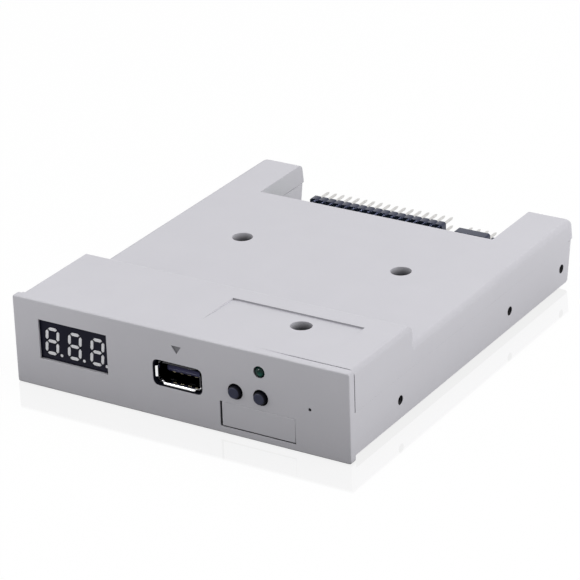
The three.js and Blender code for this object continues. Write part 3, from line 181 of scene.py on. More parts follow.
# Finishes

# Share of the fine grain in a finish's tone; the clouds have the rest.
GRAIN_SHARE = 0.25
# Values of the noises between which a finish goes from its dark tone to its light one.
TONE_SPAN = (0.36, 0.64)
# Values of the clouds between which a finish's roughness goes from its low end to its high one.
GLOSS_SPAN = (0.3, 0.7)


class Shader:
    """Nodes of one material, with a Principled shader at its end."""

    def __init__(self, name: str) -> None:
        """Starts a material that has only its shader.

        Args:
            name: Name of the material.
        """
        self.material = bpy.data.materials.new(name)
        self.material.use_nodes = True
        self.tree = self.material.node_tree
        self.tree.nodes.clear()
        self.surface = self.add("ShaderNodeBsdfPrincipled")
        self.output = self.add("ShaderNodeOutputMaterial")
        self.tree.links.new(self.surface.outputs[0], self.output.inputs["Surface"])
        own = self.add("ShaderNodeTexCoord")
        self.place, self.facing = own.outputs["Object"], own.outputs["Normal"]

    def add(self, kind: str, inputs: dict | None = None, **settings: object) -> bpy.types.Node:
        """Adds a node.

        Args:
            kind: Blender's name of the node type.
            inputs: Values or output sockets by input name or number.
            settings: Properties of the node.

        Returns:
            The new node.
        """
        node = self.tree.nodes.new(kind)
        for key, value in settings.items():
            setattr(node, key, value)
        for key, value in (inputs or {}).items():
            self.feed(node.inputs[key], value)
        return node

    def set(self, **values: object) -> None:
        """Sets the Principled shader's inputs, whose names have underscores for spaces."""
        for key, value in values.items():
            self.feed(self.surface.inputs[key.replace("_", " ")], value)

    def feed(self, target: Socket, value: object) -> None:
        """Links an input to a socket, or gives it a plain value.

        Args:
            target: Input to feed.
            value: Output socket or plain value.
        """
        if isinstance(value, Socket):
            self.tree.links.new(value, target)
        else:
            target.default_value = value

    def math(self, operation: str, *values: object) -> Socket:
        """Adds a Math node over one to three values and returns its output."""
        return self.add("ShaderNodeMath", dict(enumerate(values)), operation=operation).outputs[0]

    def axes(self, vector: Socket) -> Sequence[Socket]:
        """Splits a vector into its X, Y and Z."""
        return self.add("ShaderNodeSeparateXYZ", {0: vector}).outputs

    def noise(self, scale: float, detail: float = 2.0, stretch: Sequence[float] | None = None) -> Socket:
        """Adds noise over the object's own coordinates.

        Args:
            scale: Waves per metre.
            detail: Number of finer layers.
            stretch: Factors along X, Y and Z, for drawn surfaces.

        Returns:
            The noise's value, around a half.
        """
        place = self.place
        if stretch is not None:
            place = self.add("ShaderNodeMapping", {"Vector": place, "Scale": stretch}).outputs[0]
        inputs = {"Vector": place, "Scale": scale, "Detail": detail}
        return self.add("ShaderNodeTexNoise", inputs).outputs[0]

    def ramp(self, factor: Socket, places: Sequence[float], colours: Sequence[Tone]) -> Socket:
        """Turns a factor into a colour.

        Args:
            factor: Value to turn.
            places: Two values of the factor, in order.
            colours: The colours at these values.

        Returns:
            The colour.
        """
        node = self.add("ShaderNodeValToRGB", {0: factor})
        for element, place, colour in zip(node.color_ramp.elements, places, colours):
            element.position = place
            element.color = (*colour, 1)
        return node.outputs[0]

    def span(self, value: Socket, start: float, end: float, low: float = 0.0, high: float = 1.0) -> Socket:
        """Maps the span from start to end onto the one from low to high, and holds its ends.

        Args:
            value: Value to map.
            start: Value that becomes low.
            end: Value that becomes high.
            low: Result at the start and before it.
            high: Result at the end and past it.

        Returns:
            The mapped value.
        """
        inputs = {"Value": value, "From Min": start, "From Max": end, "To Min": low, "To Max": high}
        return self.add("ShaderNodeMapRange", inputs).outputs[0]

    def blend(self, share: Socket, colour: Socket, other: Tone) -> Socket:
        """Mixes a share of a plain tone into a colour and returns the new colour."""
        inputs = {0: share, 6: colour, 7: (*other, 1)}
        return self.add("ShaderNodeMix", inputs, data_type="RGBA").outputs[2]

    def bump(self, height: Socket, depth: float, below: Socket | None = None) -> Socket:
        """Adds relief.

        Args:
            height: Height of the relief, from 0 to 1.
            depth: Its depth in metres.
            below: Normal of the relief that it lies on, if any.

        Returns:
            The surface's normal.
        """
        inputs = {"Height": height, "Distance": depth, "Strength": 1.0}
        if below is not None:
            inputs["Normal"] = below
        return self.add("ShaderNodeBump", inputs).outputs[0]


@dataclass(frozen=True)
class Finish:
    """A finish: two near tones clouded together, a span of roughness and a fine grain.

    Where the finish has a mask, its other tone covers the two by the mask's share.
    """

    slot: str
    light: Tone
    dark: Tone
    gloss: tuple[float, float] = (0.35, 0.5)
    metal: float = 0.0
    cloud: float = 90.0
    grain: float = 2200.0
    relief: float = 4e-6
    stretch: tuple[float, float, float] | None = None
    specular: float = 0.5
    name: str = ""
    other: Tone = (0.0, 0.0, 0.0)

    def dress(self, shader: Shader) -> None:
        """Wires the tones, the roughness and the grain into the shader.

        Args:
            shader: Shader to wire.
        """
        cloud = shader.noise(self.cloud, detail=4.0, stretch=self.stretch)
        grain = shader.noise(self.grain, stretch=self.stretch)
        clouds = shader.math("MULTIPLY", cloud, 1 - GRAIN_SHARE)
        tone = shader.math("MULTIPLY_ADD", grain, GRAIN_SHARE, clouds)
        colour = shader.ramp(tone, TONE_SPAN, (self.dark, self.light))
        mask = self.mask(shader)
        shader.set(
            Base_Color=colour if mask is None else shader.blend(mask, colour, self.other),
            Roughness=shader.span(cloud, *GLOSS_SPAN, *self.gloss),
            Normal=shader.bump(grain, self.relief),
            Metallic=self.metal,
            Specular_IOR_Level=self.specular,
        )

    def mask(self, shader: Shader) -> Socket | None:
        """Wires the other tone's share, which a plain finish doesn't have."""
        return None

    def material(self) -> bpy.types.Material:
        """Builds the finish's material, once.

        Returns:
            The material.
        """
        name = f"look_{self.name or self.slot}"
        made = bpy.data.materials.get(name)
        if made is None:
            shader = Shader(name)
            self.dress(shader)
            made = shader.material
        return made


@dataclass(frozen=True)
class Patch:
    """A box in the drive's frame inside which a finish is darker."""

    middle: tuple[float, float, float]
    half: tuple[float, float, float]
    depth: float

    def mask(self, shader: Shader) -> Socket:
        """Wires a value that is the patch's depth inside its box and 0 outside.

        Args:
            shader: Shader to wire.

        Returns:
            The value.
        """
        share = self.depth
        for place, middle, half in zip(shader.axes(shader.place), self.middle, self.half):
            inside = shader.math("COMPARE", place, middle, half)
            share = shader.math("MULTIPLY", share, inside)
        return share


@dataclass(frozen=True)
class PaintedShadeMoulded(Finish):
    """Case plastic with painted shade in slots and other hollows, on the wall of the ramp's step and on
    the round edges between the top and the right side, and darker in the engraved triangle.

    A point's openness is the part of its surroundings that is free. At the first openness the painted
    shade is darkest, and from the second on the plastic keeps its tone. The patches are the step and
    the triangle.
    """

    # Tone of the painted shade.
    other: Tone = (0.02, 0.02, 0.025)
    # Painted shade in hollows: how far the occlusion looks, the openness span and the darkest share.
    reach: float = 7 * MM
    openness: tuple[float, float] = (0.2, 0.44)
    depth: float = 0.97
    # Share of painted shade on the round edges between the top and the right side.
    edge_painted_shade: float = 0.18
    # The first patch paints shade on the wall of the ramp's step; the second darkens the engraved
    # triangle.
    patches: tuple[Patch, ...] = (
        Patch((21.2 * MM, -36.5 * MM, 24.76 * MM), (19.7 * MM, 0.12 * MM, 0.2 * MM), 0.5),
        Patch((0.0, -61.05 * MM, 20.2 * MM), (1.8 * MM, 0.25 * MM, 1.6 * MM), 0.65),
    )

    def mask(self, shader: Shader) -> Socket:
        """Paints shade into slots, onto the ramp's step and onto the round edges between the top and the
        right side, where it takes down their highlight, and darkens the triangle.

        On an edge the painted shade grows with the product of the surface's leans to the right and up,
        which is a half in its middle.

        Args:
            shader: Shader to wire.

        Returns:
            The dark tone's share.
        """
        near = shader.add("ShaderNodeAmbientOcclusion", {"Distance": self.reach}, samples=12)
        share = shader.span(near.outputs["AO"], *self.openness, self.depth, 0.0)
        for patch in self.patches:
            share = shader.math("MAXIMUM", share, patch.mask(shader))
        lean = shader.axes(shader.facing)
        edge = shader.math("MULTIPLY", lean[0], lean[2])
        return shader.math("MAXIMUM", share, shader.math("MULTIPLY", edge, 2 * self.edge_painted_shade))


@dataclass(frozen=True)
class SteelWithPaintedShade(Finish):
    """Bright steel at the socket's mouth, with painted shade that darkens it into the bore and on its top
    and right lips.
    """

    # Tone of the painted shade.
    other: Tone = (0.01, 0.01, 0.013)
    right: tuple[float, float] = (6.1 * MM, 6.4 * MM)
    inward: tuple[float, float] = (-60.6 * MM, -59.2 * MM)
    top: tuple[float, float] = (14.6 * MM, 15.0 * MM)
    depth: float = 0.96

    def mask(self, shader: Shader) -> Socket:
        """Paints shade on the steel to the right, with the way in and upwards.

        Args:
            shader: Shader to wire.

        Returns:
            The dark tone's share.
        """
        share = 0.0
        for place, ends in zip(shader.axes(shader.place), (self.right, self.inward, self.top)):
            share = shader.math("MAXIMUM", share, shader.span(place, *ends, 0.0, self.depth))
        return share


@dataclass(frozen=True)
class PaleFaced(Finish):
    """Black plastic with a paler face."""

    other: Tone = (0.045, 0.048, 0.08)
    edge: tuple[float, float] = (-62.58 * MM, -62.4 * MM)

    def mask(self, shader: Shader) -> Socket:
        """Pales the face and the first part of its round edge."""
        return shader.span(shader.axes(shader.place)[1], *self.edge, 1.0, 0.0)


@dataclass(frozen=True)
class Tinted(Finish):
    """Glossy black plastic whose shine is bluish."""

    shine: Tone = (0.5, 0.58, 1.0)

    def dress(self, shader: Shader) -> None:
        """Colours the shine of the plain finish."""
        super().dress(shader)
        shader.set(Specular_Tint=(*self.shine, 1))


@dataclass(frozen=True)
class Lens(Finish):
    """Clear tinted plastic with a painted pale glow where the lit reflector shows inside it."""

    # Tone of the painted glow.
    other: Tone = (0.006, 0.17, 0.12)
    # Middle, radius and share of the painted glow.
    painted_glow_middle: tuple[float, float, float] = (25.0 * MM, -61.5 * MM, 19.3 * MM)
    painted_glow_radius: float = 0.85 * MM
    painted_glow_share: float = 0.8

    def mask(self, shader: Shader) -> Socket:
        """Paints a pale glow on the lens with nearness to the middle of the lit reflector.

        Args:
            shader: Shader to wire.

        Returns:
            The pale tone's share.
        """
        inputs = {0: shader.place, 1: self.painted_glow_middle}
        away = shader.add("ShaderNodeVectorMath", inputs, operation="DISTANCE").outputs["Value"]
        return shader.span(away, 0.0, self.painted_glow_radius, self.painted_glow_share, 0.0)

    def dress(self, shader: Shader) -> None:
        """Adds clear depth and a hard gloss to the plain finish."""
        super().dress(shader)
        shader.set(Transmission_Weight=0.1, IOR=1.5, Coat_Weight=0.08, Coat_Roughness=0.04)


@dataclass(frozen=True)
class BoardLacquer(Finish):
    """Green lacquer over copper tracks, which stand out as paler raised lines."""

    track: Tone = (0.035, 0.16, 0.07)
    track_relief: float = 3.5e-5
    scale: float = 420.0
    scatter: float = 0.8
    fold: float = 0.16
    bare: float = 0.1
    track_share: float = 0.9
    tint_span: tuple[float, float] = (0.05, 0.9)

    def dress(self, shader: Shader) -> None:
        """Draws tracks where the distance in a grid of cells, folded over and over, is high.

        Args:
            shader: Shader to wire.
        """
        super().dress(shader)
        inputs = {"Vector": shader.place, "Scale": self.scale, "Randomness": self.scatter}
        cells = shader.add("ShaderNodeTexVoronoi", inputs, distance="CHEBYCHEV")
        line = shader.math("PINGPONG", cells.outputs["Distance"], self.fold)
        track = shader.math("GREATER_THAN", line, self.bare)
        grain = shader.noise(self.grain)
        tracks = shader.math("MULTIPLY", track, self.track_share)
        tint = shader.math("MULTIPLY_ADD", grain, 1 - self.track_share, tracks)
        shader.set(
            Base_Color=shader.ramp(tint, self.tint_span, (self.dark, self.track)),
            Normal=shader.bump(track, self.track_relief, shader.bump(grain, self.relief)),
        )


class Finishes(Enum):
    """The finishes of the drive. The first one of a slot is that slot's plain finish."""

    CASE = PaintedShadeMoulded(
        "case_plastic", (0.64, 0.633, 0.675), (0.622, 0.615, 0.657), (0.5, 0.6),
        grain=3000.0, relief=7e-6, specular=0.3,
    )
    BLACK = Finish(
        "black_plastic", (0.012, 0.013, 0.024), (0.008, 0.009, 0.016), (0.3, 0.42), specular=0.12
    )
    STRIP = Tinted(
        "black_plastic", (0.014, 0.017, 0.034), (0.008, 0.01, 0.02), (0.14, 0.24),
        specular=0.6, name="strip",
    )
    CAP = PaleFaced(
        "black_plastic", (0.006, 0.006, 0.01), (0.004, 0.004, 0.007), (0.3, 0.42),
        specular=0.1, name="cap",
    )
    # Paler, bluish black plastic: painted light for the tongue's lit front face.
    TONGUE = Finish(
        "black_plastic", (0.05, 0.05, 0.12), (0.035, 0.035, 0.085), (0.3, 0.42),
        specular=0.1, name="tongue",
    )
    WHITE = Finish("white_plastic", (0.72, 0.7, 0.64), (0.66, 0.64, 0.58))
    FACE = Finish(
        "display_black", (0.009, 0.009, 0.021), (0.006, 0.006, 0.015), (0.3, 0.4),
        relief=1.5e-6, specular=0.08,
    )
    SEGMENT = Finish(
        "display_segment", (0.92, 0.92, 0.95), (0.84, 0.84, 0.88), (0.3, 0.4), cloud=700.0
    )
    STEEL = Finish(
        "steel", (0.56, 0.56, 0.57), (0.46, 0.46, 0.47), (0.08, 0.16), 1.0,
        cloud=300.0, grain=2600.0, relief=2e-6, stretch=(1, 0.12, 1),
    )
    MOUTH = SteelWithPaintedShade(
        "steel", (0.9, 0.9, 0.91), (0.82, 0.82, 0.83), (0.06, 0.12), 1.0,
        cloud=300.0, relief=5e-7, name="steel_mouth_with_painted_shade",
    )
    TIN = Finish(
        "pin_steel", (0.68, 0.67, 0.655), (0.56, 0.55, 0.54), (0.24, 0.36), 1.0,
        cloud=900.0, grain=5000.0, relief=3e-6,
    )
    SCREW = Finish(
        "screw_black", (0.012, 0.012, 0.014), (0.008, 0.008, 0.01), (0.4, 0.55),
        cloud=500.0, grain=4000.0, relief=5e-6, specular=0.15,
    )
    # Gold darkened with painted shade, for the contacts in the shade under the tongue.
    CONTACT = Finish(
        "contact_gold", (0.06, 0.053, 0.033), (0.04, 0.034, 0.022), (0.2, 0.32), 1.0,
        cloud=600.0, name="contact",
    )
    BOARD = BoardLacquer("board_green", (0.02, 0.1, 0.045), (0.012, 0.07, 0.03), (0.25, 0.35))
    LAMP = Lens(
        "lamp_green", (0.001, 0.026, 0.02), (0.001, 0.016, 0.012), (0.1, 0.16),
        relief=5e-7, specular=0.06,
    )
    CHIP = Finish(
        "chip_black", (0.022, 0.022, 0.024), (0.014, 0.014, 0.016), (0.5, 0.65),
        grain=4500.0, relief=8e-6,
    )
    ALUMINIUM = Finish(
        "aluminium", (0.8, 0.8, 0.8), (0.68, 0.68, 0.69), (0.25, 0.38), 1.0, cloud=250.0, grain=2400.0
    )
    WIRE = Finish("wire_grey", (0.36, 0.36, 0.37), (0.28, 0.28, 0.29), (0.4, 0.55), cloud=400.0)


def dress(piece: bpy.types.Object, finish: Finishes, *nodes: str, body: str = CASE_BODY) -> None:
    """Gives a piece its finish and its body, and hides the CAD nodes that it stands for.

    Args:
        piece: The piece.
        finish: Its finish.
        nodes: CAD nodes that it replaces.
        body: CAD body that it rides on.
    """
    piece.data.materials.clear()
    piece.data.materials.append(finish.value.material())
    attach(piece, body)
    if nodes:
        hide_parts(*nodes)
    faces = sum(max(len(polygon.vertices) - 2, 1) for polygon in piece.data.polygons)
    log.info("%s: %d triangles before modifiers, %s", piece.name, faces, finish.value.slot)


# The drive's sub-assemblies


@dataclass
class BrokenEdges:
    """Copies of CAD solids whose sharp edges are broken by a small round."""

    width: float = 0.1 * MM
    segments: int = 2
    limit: float = 50.0

    def copy(self, node: str, name: str) -> bpy.types.Object:
        """Copies a solid, merges its loose triangles and flat faces, and rounds its edges.

        Args:
            node: CAD node to copy.
            name: Name of the new piece.

        Returns:
            The piece, with its Bevel and Weighted Normal modifiers.
        """
        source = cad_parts[node].data
        places = np.empty(len(source.vertices) * 3)
        source.vertices.foreach_get("co", places)
        corners = np.empty(len(source.loops), dtype=np.int64)
        source.loops.foreach_get("vertex_index", corners)
        mesh = bpy.data.meshes.new(name)
        mesh.from_pydata(places.reshape(-1, 3).tolist(), [], corners.reshape(-1, 3).tolist())
        work = bmesh.new()
        work.from_mesh(mesh)
        bmesh.ops.remove_doubles(work, verts=work.verts[:], dist=2e-6)
        bmesh.ops.dissolve_limit(
            work, angle_limit=math.radians(0.4), verts=work.verts[:], edges=work.edges[:]
        )
        work.to_mesh(mesh)
        work.free()
        mesh.shade_smooth()
        piece = bpy.data.objects.new(name, mesh)
        bpy.context.scene.collection.objects.link(piece)
        bevel = piece.modifiers.new("broken_edges", "BEVEL")
        bevel.width = self.width
        bevel.segments = self.segments
        bevel.limit_method = "ANGLE"
        bevel.angle_limit = math.radians(self.limit)
        bevel.use_clamp_overlap = False
        flats = piece.modifiers.new("flat_faces", "WEIGHTED_NORMAL")
        flats.mode = "FACE_AREA"
        flats.weight = 100
        flats.keep_sharp = True
        return piece


@dataclass
class Case:
    """The lower shell with its front panel, and the cover, with the gaps between them."""

    edge: float = 0.08 * MM
    ledge_sink: float = 0.5 * MM
    ledge_depth: float = 0.6 * MM
    ledge_reach: float = 0.5 * MM
    ledge_inset: float = 0.3 * MM
    ledge_rows: int = 90
    sinking: tuple[float, float] = (18 * MM, 48 * MM)
    parting: tuple[float, float] = (13.27 * MM, 13.48 * MM)
    parting_run: tuple[float, float] = (-58.9 * MM, 59.0 * MM)
    parting_sink: float = 0.01 * MM
    parting_depth: float = 0.4 * MM

    def shells(self) -> None:
        """Makes the two halves of the case."""
        edges = BrokenEdges(self.edge)
        dress(edges.copy("base_shell", "case_base"), Finishes.CASE, "base_shell")
        dress(edges.copy("top_cover", "case_cover"), Finishes.CASE, "top_cover")

    def ledge(self) -> None:
        """Closes the seam behind the panel by a ledge, flush at the left and sinking to the right.

        The ledge's depth is a smooth step of the place across.
        """
        panel, cover = Box.of("base_shell"), Box.of("top_cover")
        ends = cover.low[0] + self.ledge_inset, cover.high[0] - self.ledge_inset
        across = np.linspace(*ends, self.ledge_rows)[:, None]
        top = panel.high[2] - self.ledge_sink * smoothstep(*self.sinking, across)
        near, far = cover.low[1] - self.ledge_reach, cover.low[1] + self.edge
        ring = np.array([[near, 0.0], [far, 0.0], [far, 1.0], [near, 1.0]])
        level = top - ring[:, 1] * self.ledge_depth
        strip = np.stack([across * np.ones(4), ring[:, 0] * np.ones_like(across), level], axis=-1)
        dress(grid_piece("seam_ledge", capped(strip)), Finishes.CASE)

    def parting_strips(self) -> None:
        """Fills the gap between the halves along both sides, just under their surfaces."""
        cover = Box.of("top_cover")
        strips = []
        for side, inward in ((cover.low[0], 1), (cover.high[0], -1)):
            mouth = side + inward * self.parting_sink
            deep = mouth + inward * self.parting_depth
            bottom, top = self.parting
            ring = [[mouth, bottom], [mouth, top], [deep, top], [deep, bottom]]
            rows = [[[x, y, z] for x, z in ring] for y in self.parting_run]
            strips.append(capped(np.array(rows)))
        dress(grid_piece("parting_strips", np.stack(strips)), Finishes.CASE)

    def build(self) -> None:
        """Makes the halves and closes their gaps."""
        self.shells()
        self.ledge()
        self.parting_strips()


@dataclass
class CoverScrews:
    """Pan-headed screws, deep in the wells of the cover."""

    nodes: tuple[str, ...] = ("cover_screw_front", "cover_screw_rear_left", "cover_screw_rear_right")
    head_height: float = 2 * MM
    head_edge: float = 0.2 * MM
    crown: float = 0.28 * MM
    rim: float = 0.25 * MM
    recess: float = 1.1 * MM
    pitch: float = 1.1 * MM
    thread: float = 0.22 * MM
    face_share: float = 0.96
    seat_share: float = 0.97
    core_share: float = 0.44
    tip_shares: tuple[float, float] = (0.5, 0.4)
    arm_width_shares: tuple[float, float] = (0.1, 0.2)
    arm_length_shares: tuple[float, float] = (0.46, 0.62)
    steps: int = 72
    face_rows: int = 34
    shank_rows: int = 90
    plain_rows: int = 3

    def screw(self, node: str) -> None:
        """Makes one screw over its solid.

        The head is a height over a polar grid: a crown that falls with the square of the
        radius, less a cross whose two arms have sloping walls. Below it the shank's radius
        swings as a saw wave of the height and the turn, which winds a thread.

        Args:
            node: The screw's CAD node.
        """
        box = Box.of(node)
        x, y = box.middle[:2]
        top, bottom = box.high[2], box.low[2]
        head = box.size[0] / 2
        seat, core = top - self.head_height, head * self.core_share
        turn = np.linspace(0, 2 * np.pi, self.steps, endpoint=False)

        reach = np.linspace(0, head * self.face_share, self.face_rows)[:, None]
        across, along = reach * np.cos(turn), reach * np.sin(turn)
        cross = np.maximum(self.arm(across, along, head), self.arm(along, across, head))
        crown = top - self.crown * (reach / head) ** 2 * np.ones_like(turn)
        face = crown - self.recess * cross

        wall = [[head, crown[-1].mean() - self.rim], [head, seat + self.head_edge]]
        edge = np.array([*wall, [head * self.seat_share, seat], [core, seat]])
        levels = np.linspace(seat, bottom + core, self.shank_rows)
        shank = np.stack([np.full_like(levels, core), levels], axis=-1)
        tip = np.array([[core * self.tip_shares[0], bottom + core * self.tip_shares[1]], [0, bottom]])
        profile = np.concatenate([edge, shank, tip])
        radius = profile[:, :1] * np.ones_like(turn)
        phase = (profile[:, 1:] / self.pitch - turn / (2 * np.pi)) % 1
        threaded = slice(len(edge) + self.plain_rows, len(edge) + len(levels))
        radius[threaded] -= self.thread * np.abs(2 * phase[threaded] - 1)

        points = [
            np.stack([x + across, y + along, face], axis=-1),
            wound(radius, profile[:, 1:], (x, y), Axis.UP),
        ]
        piece = grid_piece(node.replace("screw", "threaded_screw"), np.concatenate(points))
        dress(piece, Finishes.SCREW, node)

    def arm(self, along: np.ndarray, across: np.ndarray, head: float) -> np.ndarray:
        """Works out the depth of one arm of the cross, as a smooth step of each distance.

        Args:
            along: Distance along the arm from the head's middle.
            across: Distance from the arm's middle line.
            head: Radius of the head.

        Returns:
            Share of the depth: 1 inside the arm's width and length, 0 outside.
        """
        width = 1 - smoothstep(*(head * share for share in self.arm_width_shares), np.abs(across))
        length = 1 - smoothstep(*(head * share for share in self.arm_length_shares), np.abs(along))
        return width * length

    def build(self) -> None:
        """Makes the screws."""
        for node in self.nodes:
            self.screw(node)


@dataclass
class InsertsWithPaintedShade:
    """Threaded sleeves in the holes by which the drive is fastened in its cage, whose near-black also
    paints the shade deep in the holes.
    """

    radius: float = 1.3 * MM
    fit: float = 0.01 * MM
    web: float = 0.06 * MM
    thread: float = 0.26 * MM
    pitch: float = 0.5 * MM
    sink: float = 0.12 * MM
    length: float = 3.6 * MM
    steps: int = 32
    turn_rows: int = 8
    rise: float = 6.8 * MM
    places: tuple[float, ...] = (-36.3 * MM, 23.7 * MM, 54.7 * MM)
    sides: tuple[float, float] = (-49.6 * MM, 50.8 * MM)
    under: float = 1.7 * MM
    under_inset: float = 15 * MM

    def sleeve(self, mouth: float, inward: float, centre: Sequence[float], axis: Axis) -> np.ndarray:
        """Winds one sleeve, whose bore swings as a triangle wave of the depth and the turn.

        Args:
            mouth: Place of the hole's mouth along the axis.
            inward: Sign of the way in.
            centre: The other two coordinates of the hole.
            axis: The hole's direction.

        Returns:
            Points of one closed skin: along the bore, and back along the outside.
        """
        outer = self.radius - self.fit
        rows = int(self.turn_rows * self.length / self.pitch)
        depth = np.linspace(self.sink, self.sink + self.length, rows)[:, None]
        turn = np.linspace(0, 1, self.steps, endpoint=False)
        phase = (depth / self.pitch - turn) % 1
        from_ends = np.minimum(depth - depth[0], depth[-1] - depth)
        fade = smoothstep(0, self.pitch, from_ends)
        bore = outer - self.web - self.thread * fade * (1 - np.abs(2 * phase - 1))
        ends = np.array([[self.sink], [self.sink + self.length]])
        radius = np.concatenate([bore, np.full((2, self.steps), outer)])
        level = mouth + inward * np.concatenate([depth, ends[::-1]])
        points = wound(radius, level, centre, axis)
        return np.concatenate([points, points[:1]])

    def build(self) -> None:
        """Makes the sleeves of both sides and of the underside."""
        for name, mouth, inward in (("left", self.sides[0], 1), ("right", self.sides[1], -1)):
            row = [self.sleeve(mouth, inward, (place, self.rise), Axis.SIDE) for place in self.places]
            dress(grid_piece(f"side_inserts_{name}", np.stack(row)), Finishes.SCREW)
        columns = (self.sides[0] + self.under_inset, self.sides[1] - self.under_inset)
        row = [
            self.sleeve(self.under, 1, (column, place), Axis.UP)
            for column in columns
            for place in self.places[:2]
        ]
        dress(grid_piece("underside_inserts", np.stack(row)), Finishes.SCREW)


@dataclass
class Buttons:
    """The two push buttons, which move with their own bodies."""

    diameter: float = 3.4 * MM
    flange: float = 4.6 * MM
    flange_thickness: float = 0.7 * MM
    pip: float = 1.4 * MM
    pip_length: float = 0.4 * MM
    edge: float = 0.62 * MM
    dish: float = 0.06 * MM
    rows: int = 9
    steps: int = 64

    def cap(self, side: str) -> None:
        """Turns one button: a face with a shallow dish, a round edge, a stem and a flange.

        The dish's depth falls with the square of the radius.

        Args:
            side: Side of the pair, left or right.
        """
        node = f"button_{side}"
        box = Box.of(node)
        front, back = box.low[1], box.high[1]
        radius = self.diameter / 2
        inner = radius - self.edge
        reach = np.linspace(0, inner, self.rows)
        face = np.stack([reach, front + self.dish * (1 - (reach / inner) ** 2)], axis=-1)
        round_edge = arc((inner, front + self.edge), self.edge, -90, 0, self.rows)
        flange_back = back - self.pip_length
        flange_front = flange_back - self.flange_thickness
        rest = [
            [radius, flange_front],
            [self.flange / 2, flange_front],
            [self.flange / 2, flange_back],
            [self.pip / 2, flange_back],
            [self.pip / 2, back],
            [0, back],
        ]
        profile = np.concatenate([face, round_edge, rest])
        points = turned(profile, (box.middle[0], box.middle[2]), Axis.REAR, self.steps)
        piece = grid_piece(f"button_cap_{side}", points)
        dress(piece, Finishes.CAP, node, body=f"{side}_button")

    def build(self) -> None:
        """Makes both buttons."""
        for side in ("left", "right"):
            self.cap(side)


@dataclass
class StatusLamp:
    """The lamp's moulded lens."""

    diameter: float = 3.0 * MM
    flange_thickness: float = 1.0 * MM
    rows: int = 16
    steps: int = 56

    def build(self) -> None:
        """Turns the lens as half a sphere on a cylinder with a flange."""
        box = Box.of("status_lamp")
        radius = self.diameter / 2
        front, back = box.low[1], box.high[1]
        dome = arc((0, front + radius), radius, -90, 0, self.rows)
        flange, flange_front = box.size[0] / 2, back - self.flange_thickness
        rest = [[radius, flange_front], [flange, flange_front], [flange, back], [0, back]]
        centre = (box.middle[0], box.middle[2])
        points = turned(np.concatenate([dome, rest]), centre, Axis.REAR, self.steps)
        dress(grid_piece("lamp_lens", points), Finishes.LAMP, "status_lamp")


@dataclass
class Digits:
    """Light pipes of the display: seven bars and a point for each of three digits."""

    pitch: float = 7.1 * MM
    width: float = 4.45 * MM
    height: float = 8.0 * MM
    lean_share: float = 0.08125
    drop: float = 0.3 * MM
    bar: float = 1.02 * MM
    gap: float = 0.25 * MM
    fit: float = 0.05 * MM
    round_edge: float = 0.07 * MM
    point_radius: float = 0.5 * MM
    point_reach: float = 0.85 * MM
    point_steps: int = 24

    def bars(self, margin: float) -> np.ndarray:
        """Outlines the bars of one digit, each six-sided with pointed ends.

        A lying bar ends a gap inside the digit's width, a standing one a gap from the middles
        of the bars above and below.

        Args:
            margin: Distance by which the outline is drawn in.

        Returns:
            Array of (7, 6, 2): place across and height, from the digit's middle.
        """
        half, thick = self.width / 2, self.bar / 2
        level = self.height / 2 - thick
        end = half - self.gap - margin
        inset, square = thick - margin, end - self.bar
        right = [[square, -inset], [end - thick, 0], [square, inset]]
        lying = np.array(right + [[-x, -z] for x, z in right])
        low, high = self.gap + margin, level - self.gap - margin
        rising = [[0, low], [inset, low + thick], [inset, high - thick]]
        falling = [[0, high], [-inset, high - thick], [-inset, low + thick]]
        standing = np.array(rising + falling)
        side = half - thick
        rises = np.array([[0, level], [0, 0], [0, -level]])
        corners = np.array([[-side, 0], [side, 0], [-side, -level], [side, -level]])
        return np.concatenate([lying + rises[:, None], standing + corners[:, None]])

    def pipes(self, name: str, outer: np.ndarray, inner: np.ndarray, *nodes: str) -> None:
        """Draws outlines back through the display, with a small round at the front.

        Args:
            name: Name of the piece.
            outer: Outlines of one digit, as (outlines, corners, 2).
            inner: The same outlines, drawn in by the round's width.
            nodes: CAD nodes that the piece stands for.
        """
        box = Box.of("display_segments")
        front, back = box.low[1], box.high[1]
        pole = np.broadcast_to(outer.mean(axis=1, keepdims=True), outer.shape)
        section = np.stack([pole, inner, outer, outer, pole], axis=1)
        depth = np.array([front, front, front + self.round_edge, back, back])[:, None]
        middle = Box.of("display_shell").middle
        place_x = middle[0] + section[..., 0] + self.lean_share * section[..., 1]
        place_z = middle[2] - self.drop + section[..., 1]
        digit = np.stack([place_x, np.broadcast_to(depth, place_x.shape), place_z], axis=-1)
        shift = np.array([-1, 0, 1])[:, None, None, None, None] * np.array([self.pitch, 0, 0])
        points = (digit[None] + shift).reshape(-1, *digit.shape[1:])
        dress(grid_piece(name, points, sharp=30), Finishes.SEGMENT, *nodes)

    def build(self) -> None:
        """Makes the bars and the points."""
        outer, inner = self.bars(self.fit), self.bars(self.fit + self.round_edge)
        self.pipes("digit_bars", outer, inner, "display_segments")
        turn = np.linspace(0, 2 * np.pi, self.point_steps, endpoint=False)
        circle = np.stack([np.cos(turn), np.sin(turn)], axis=-1)[None]
        place = np.array([self.width / 2 + self.point_reach, (self.bar - self.height) / 2])
        radius = self.point_radius - self.fit
        self.pipes("digit_points", place + radius * circle, place + (radius - self.round_edge) * circle)


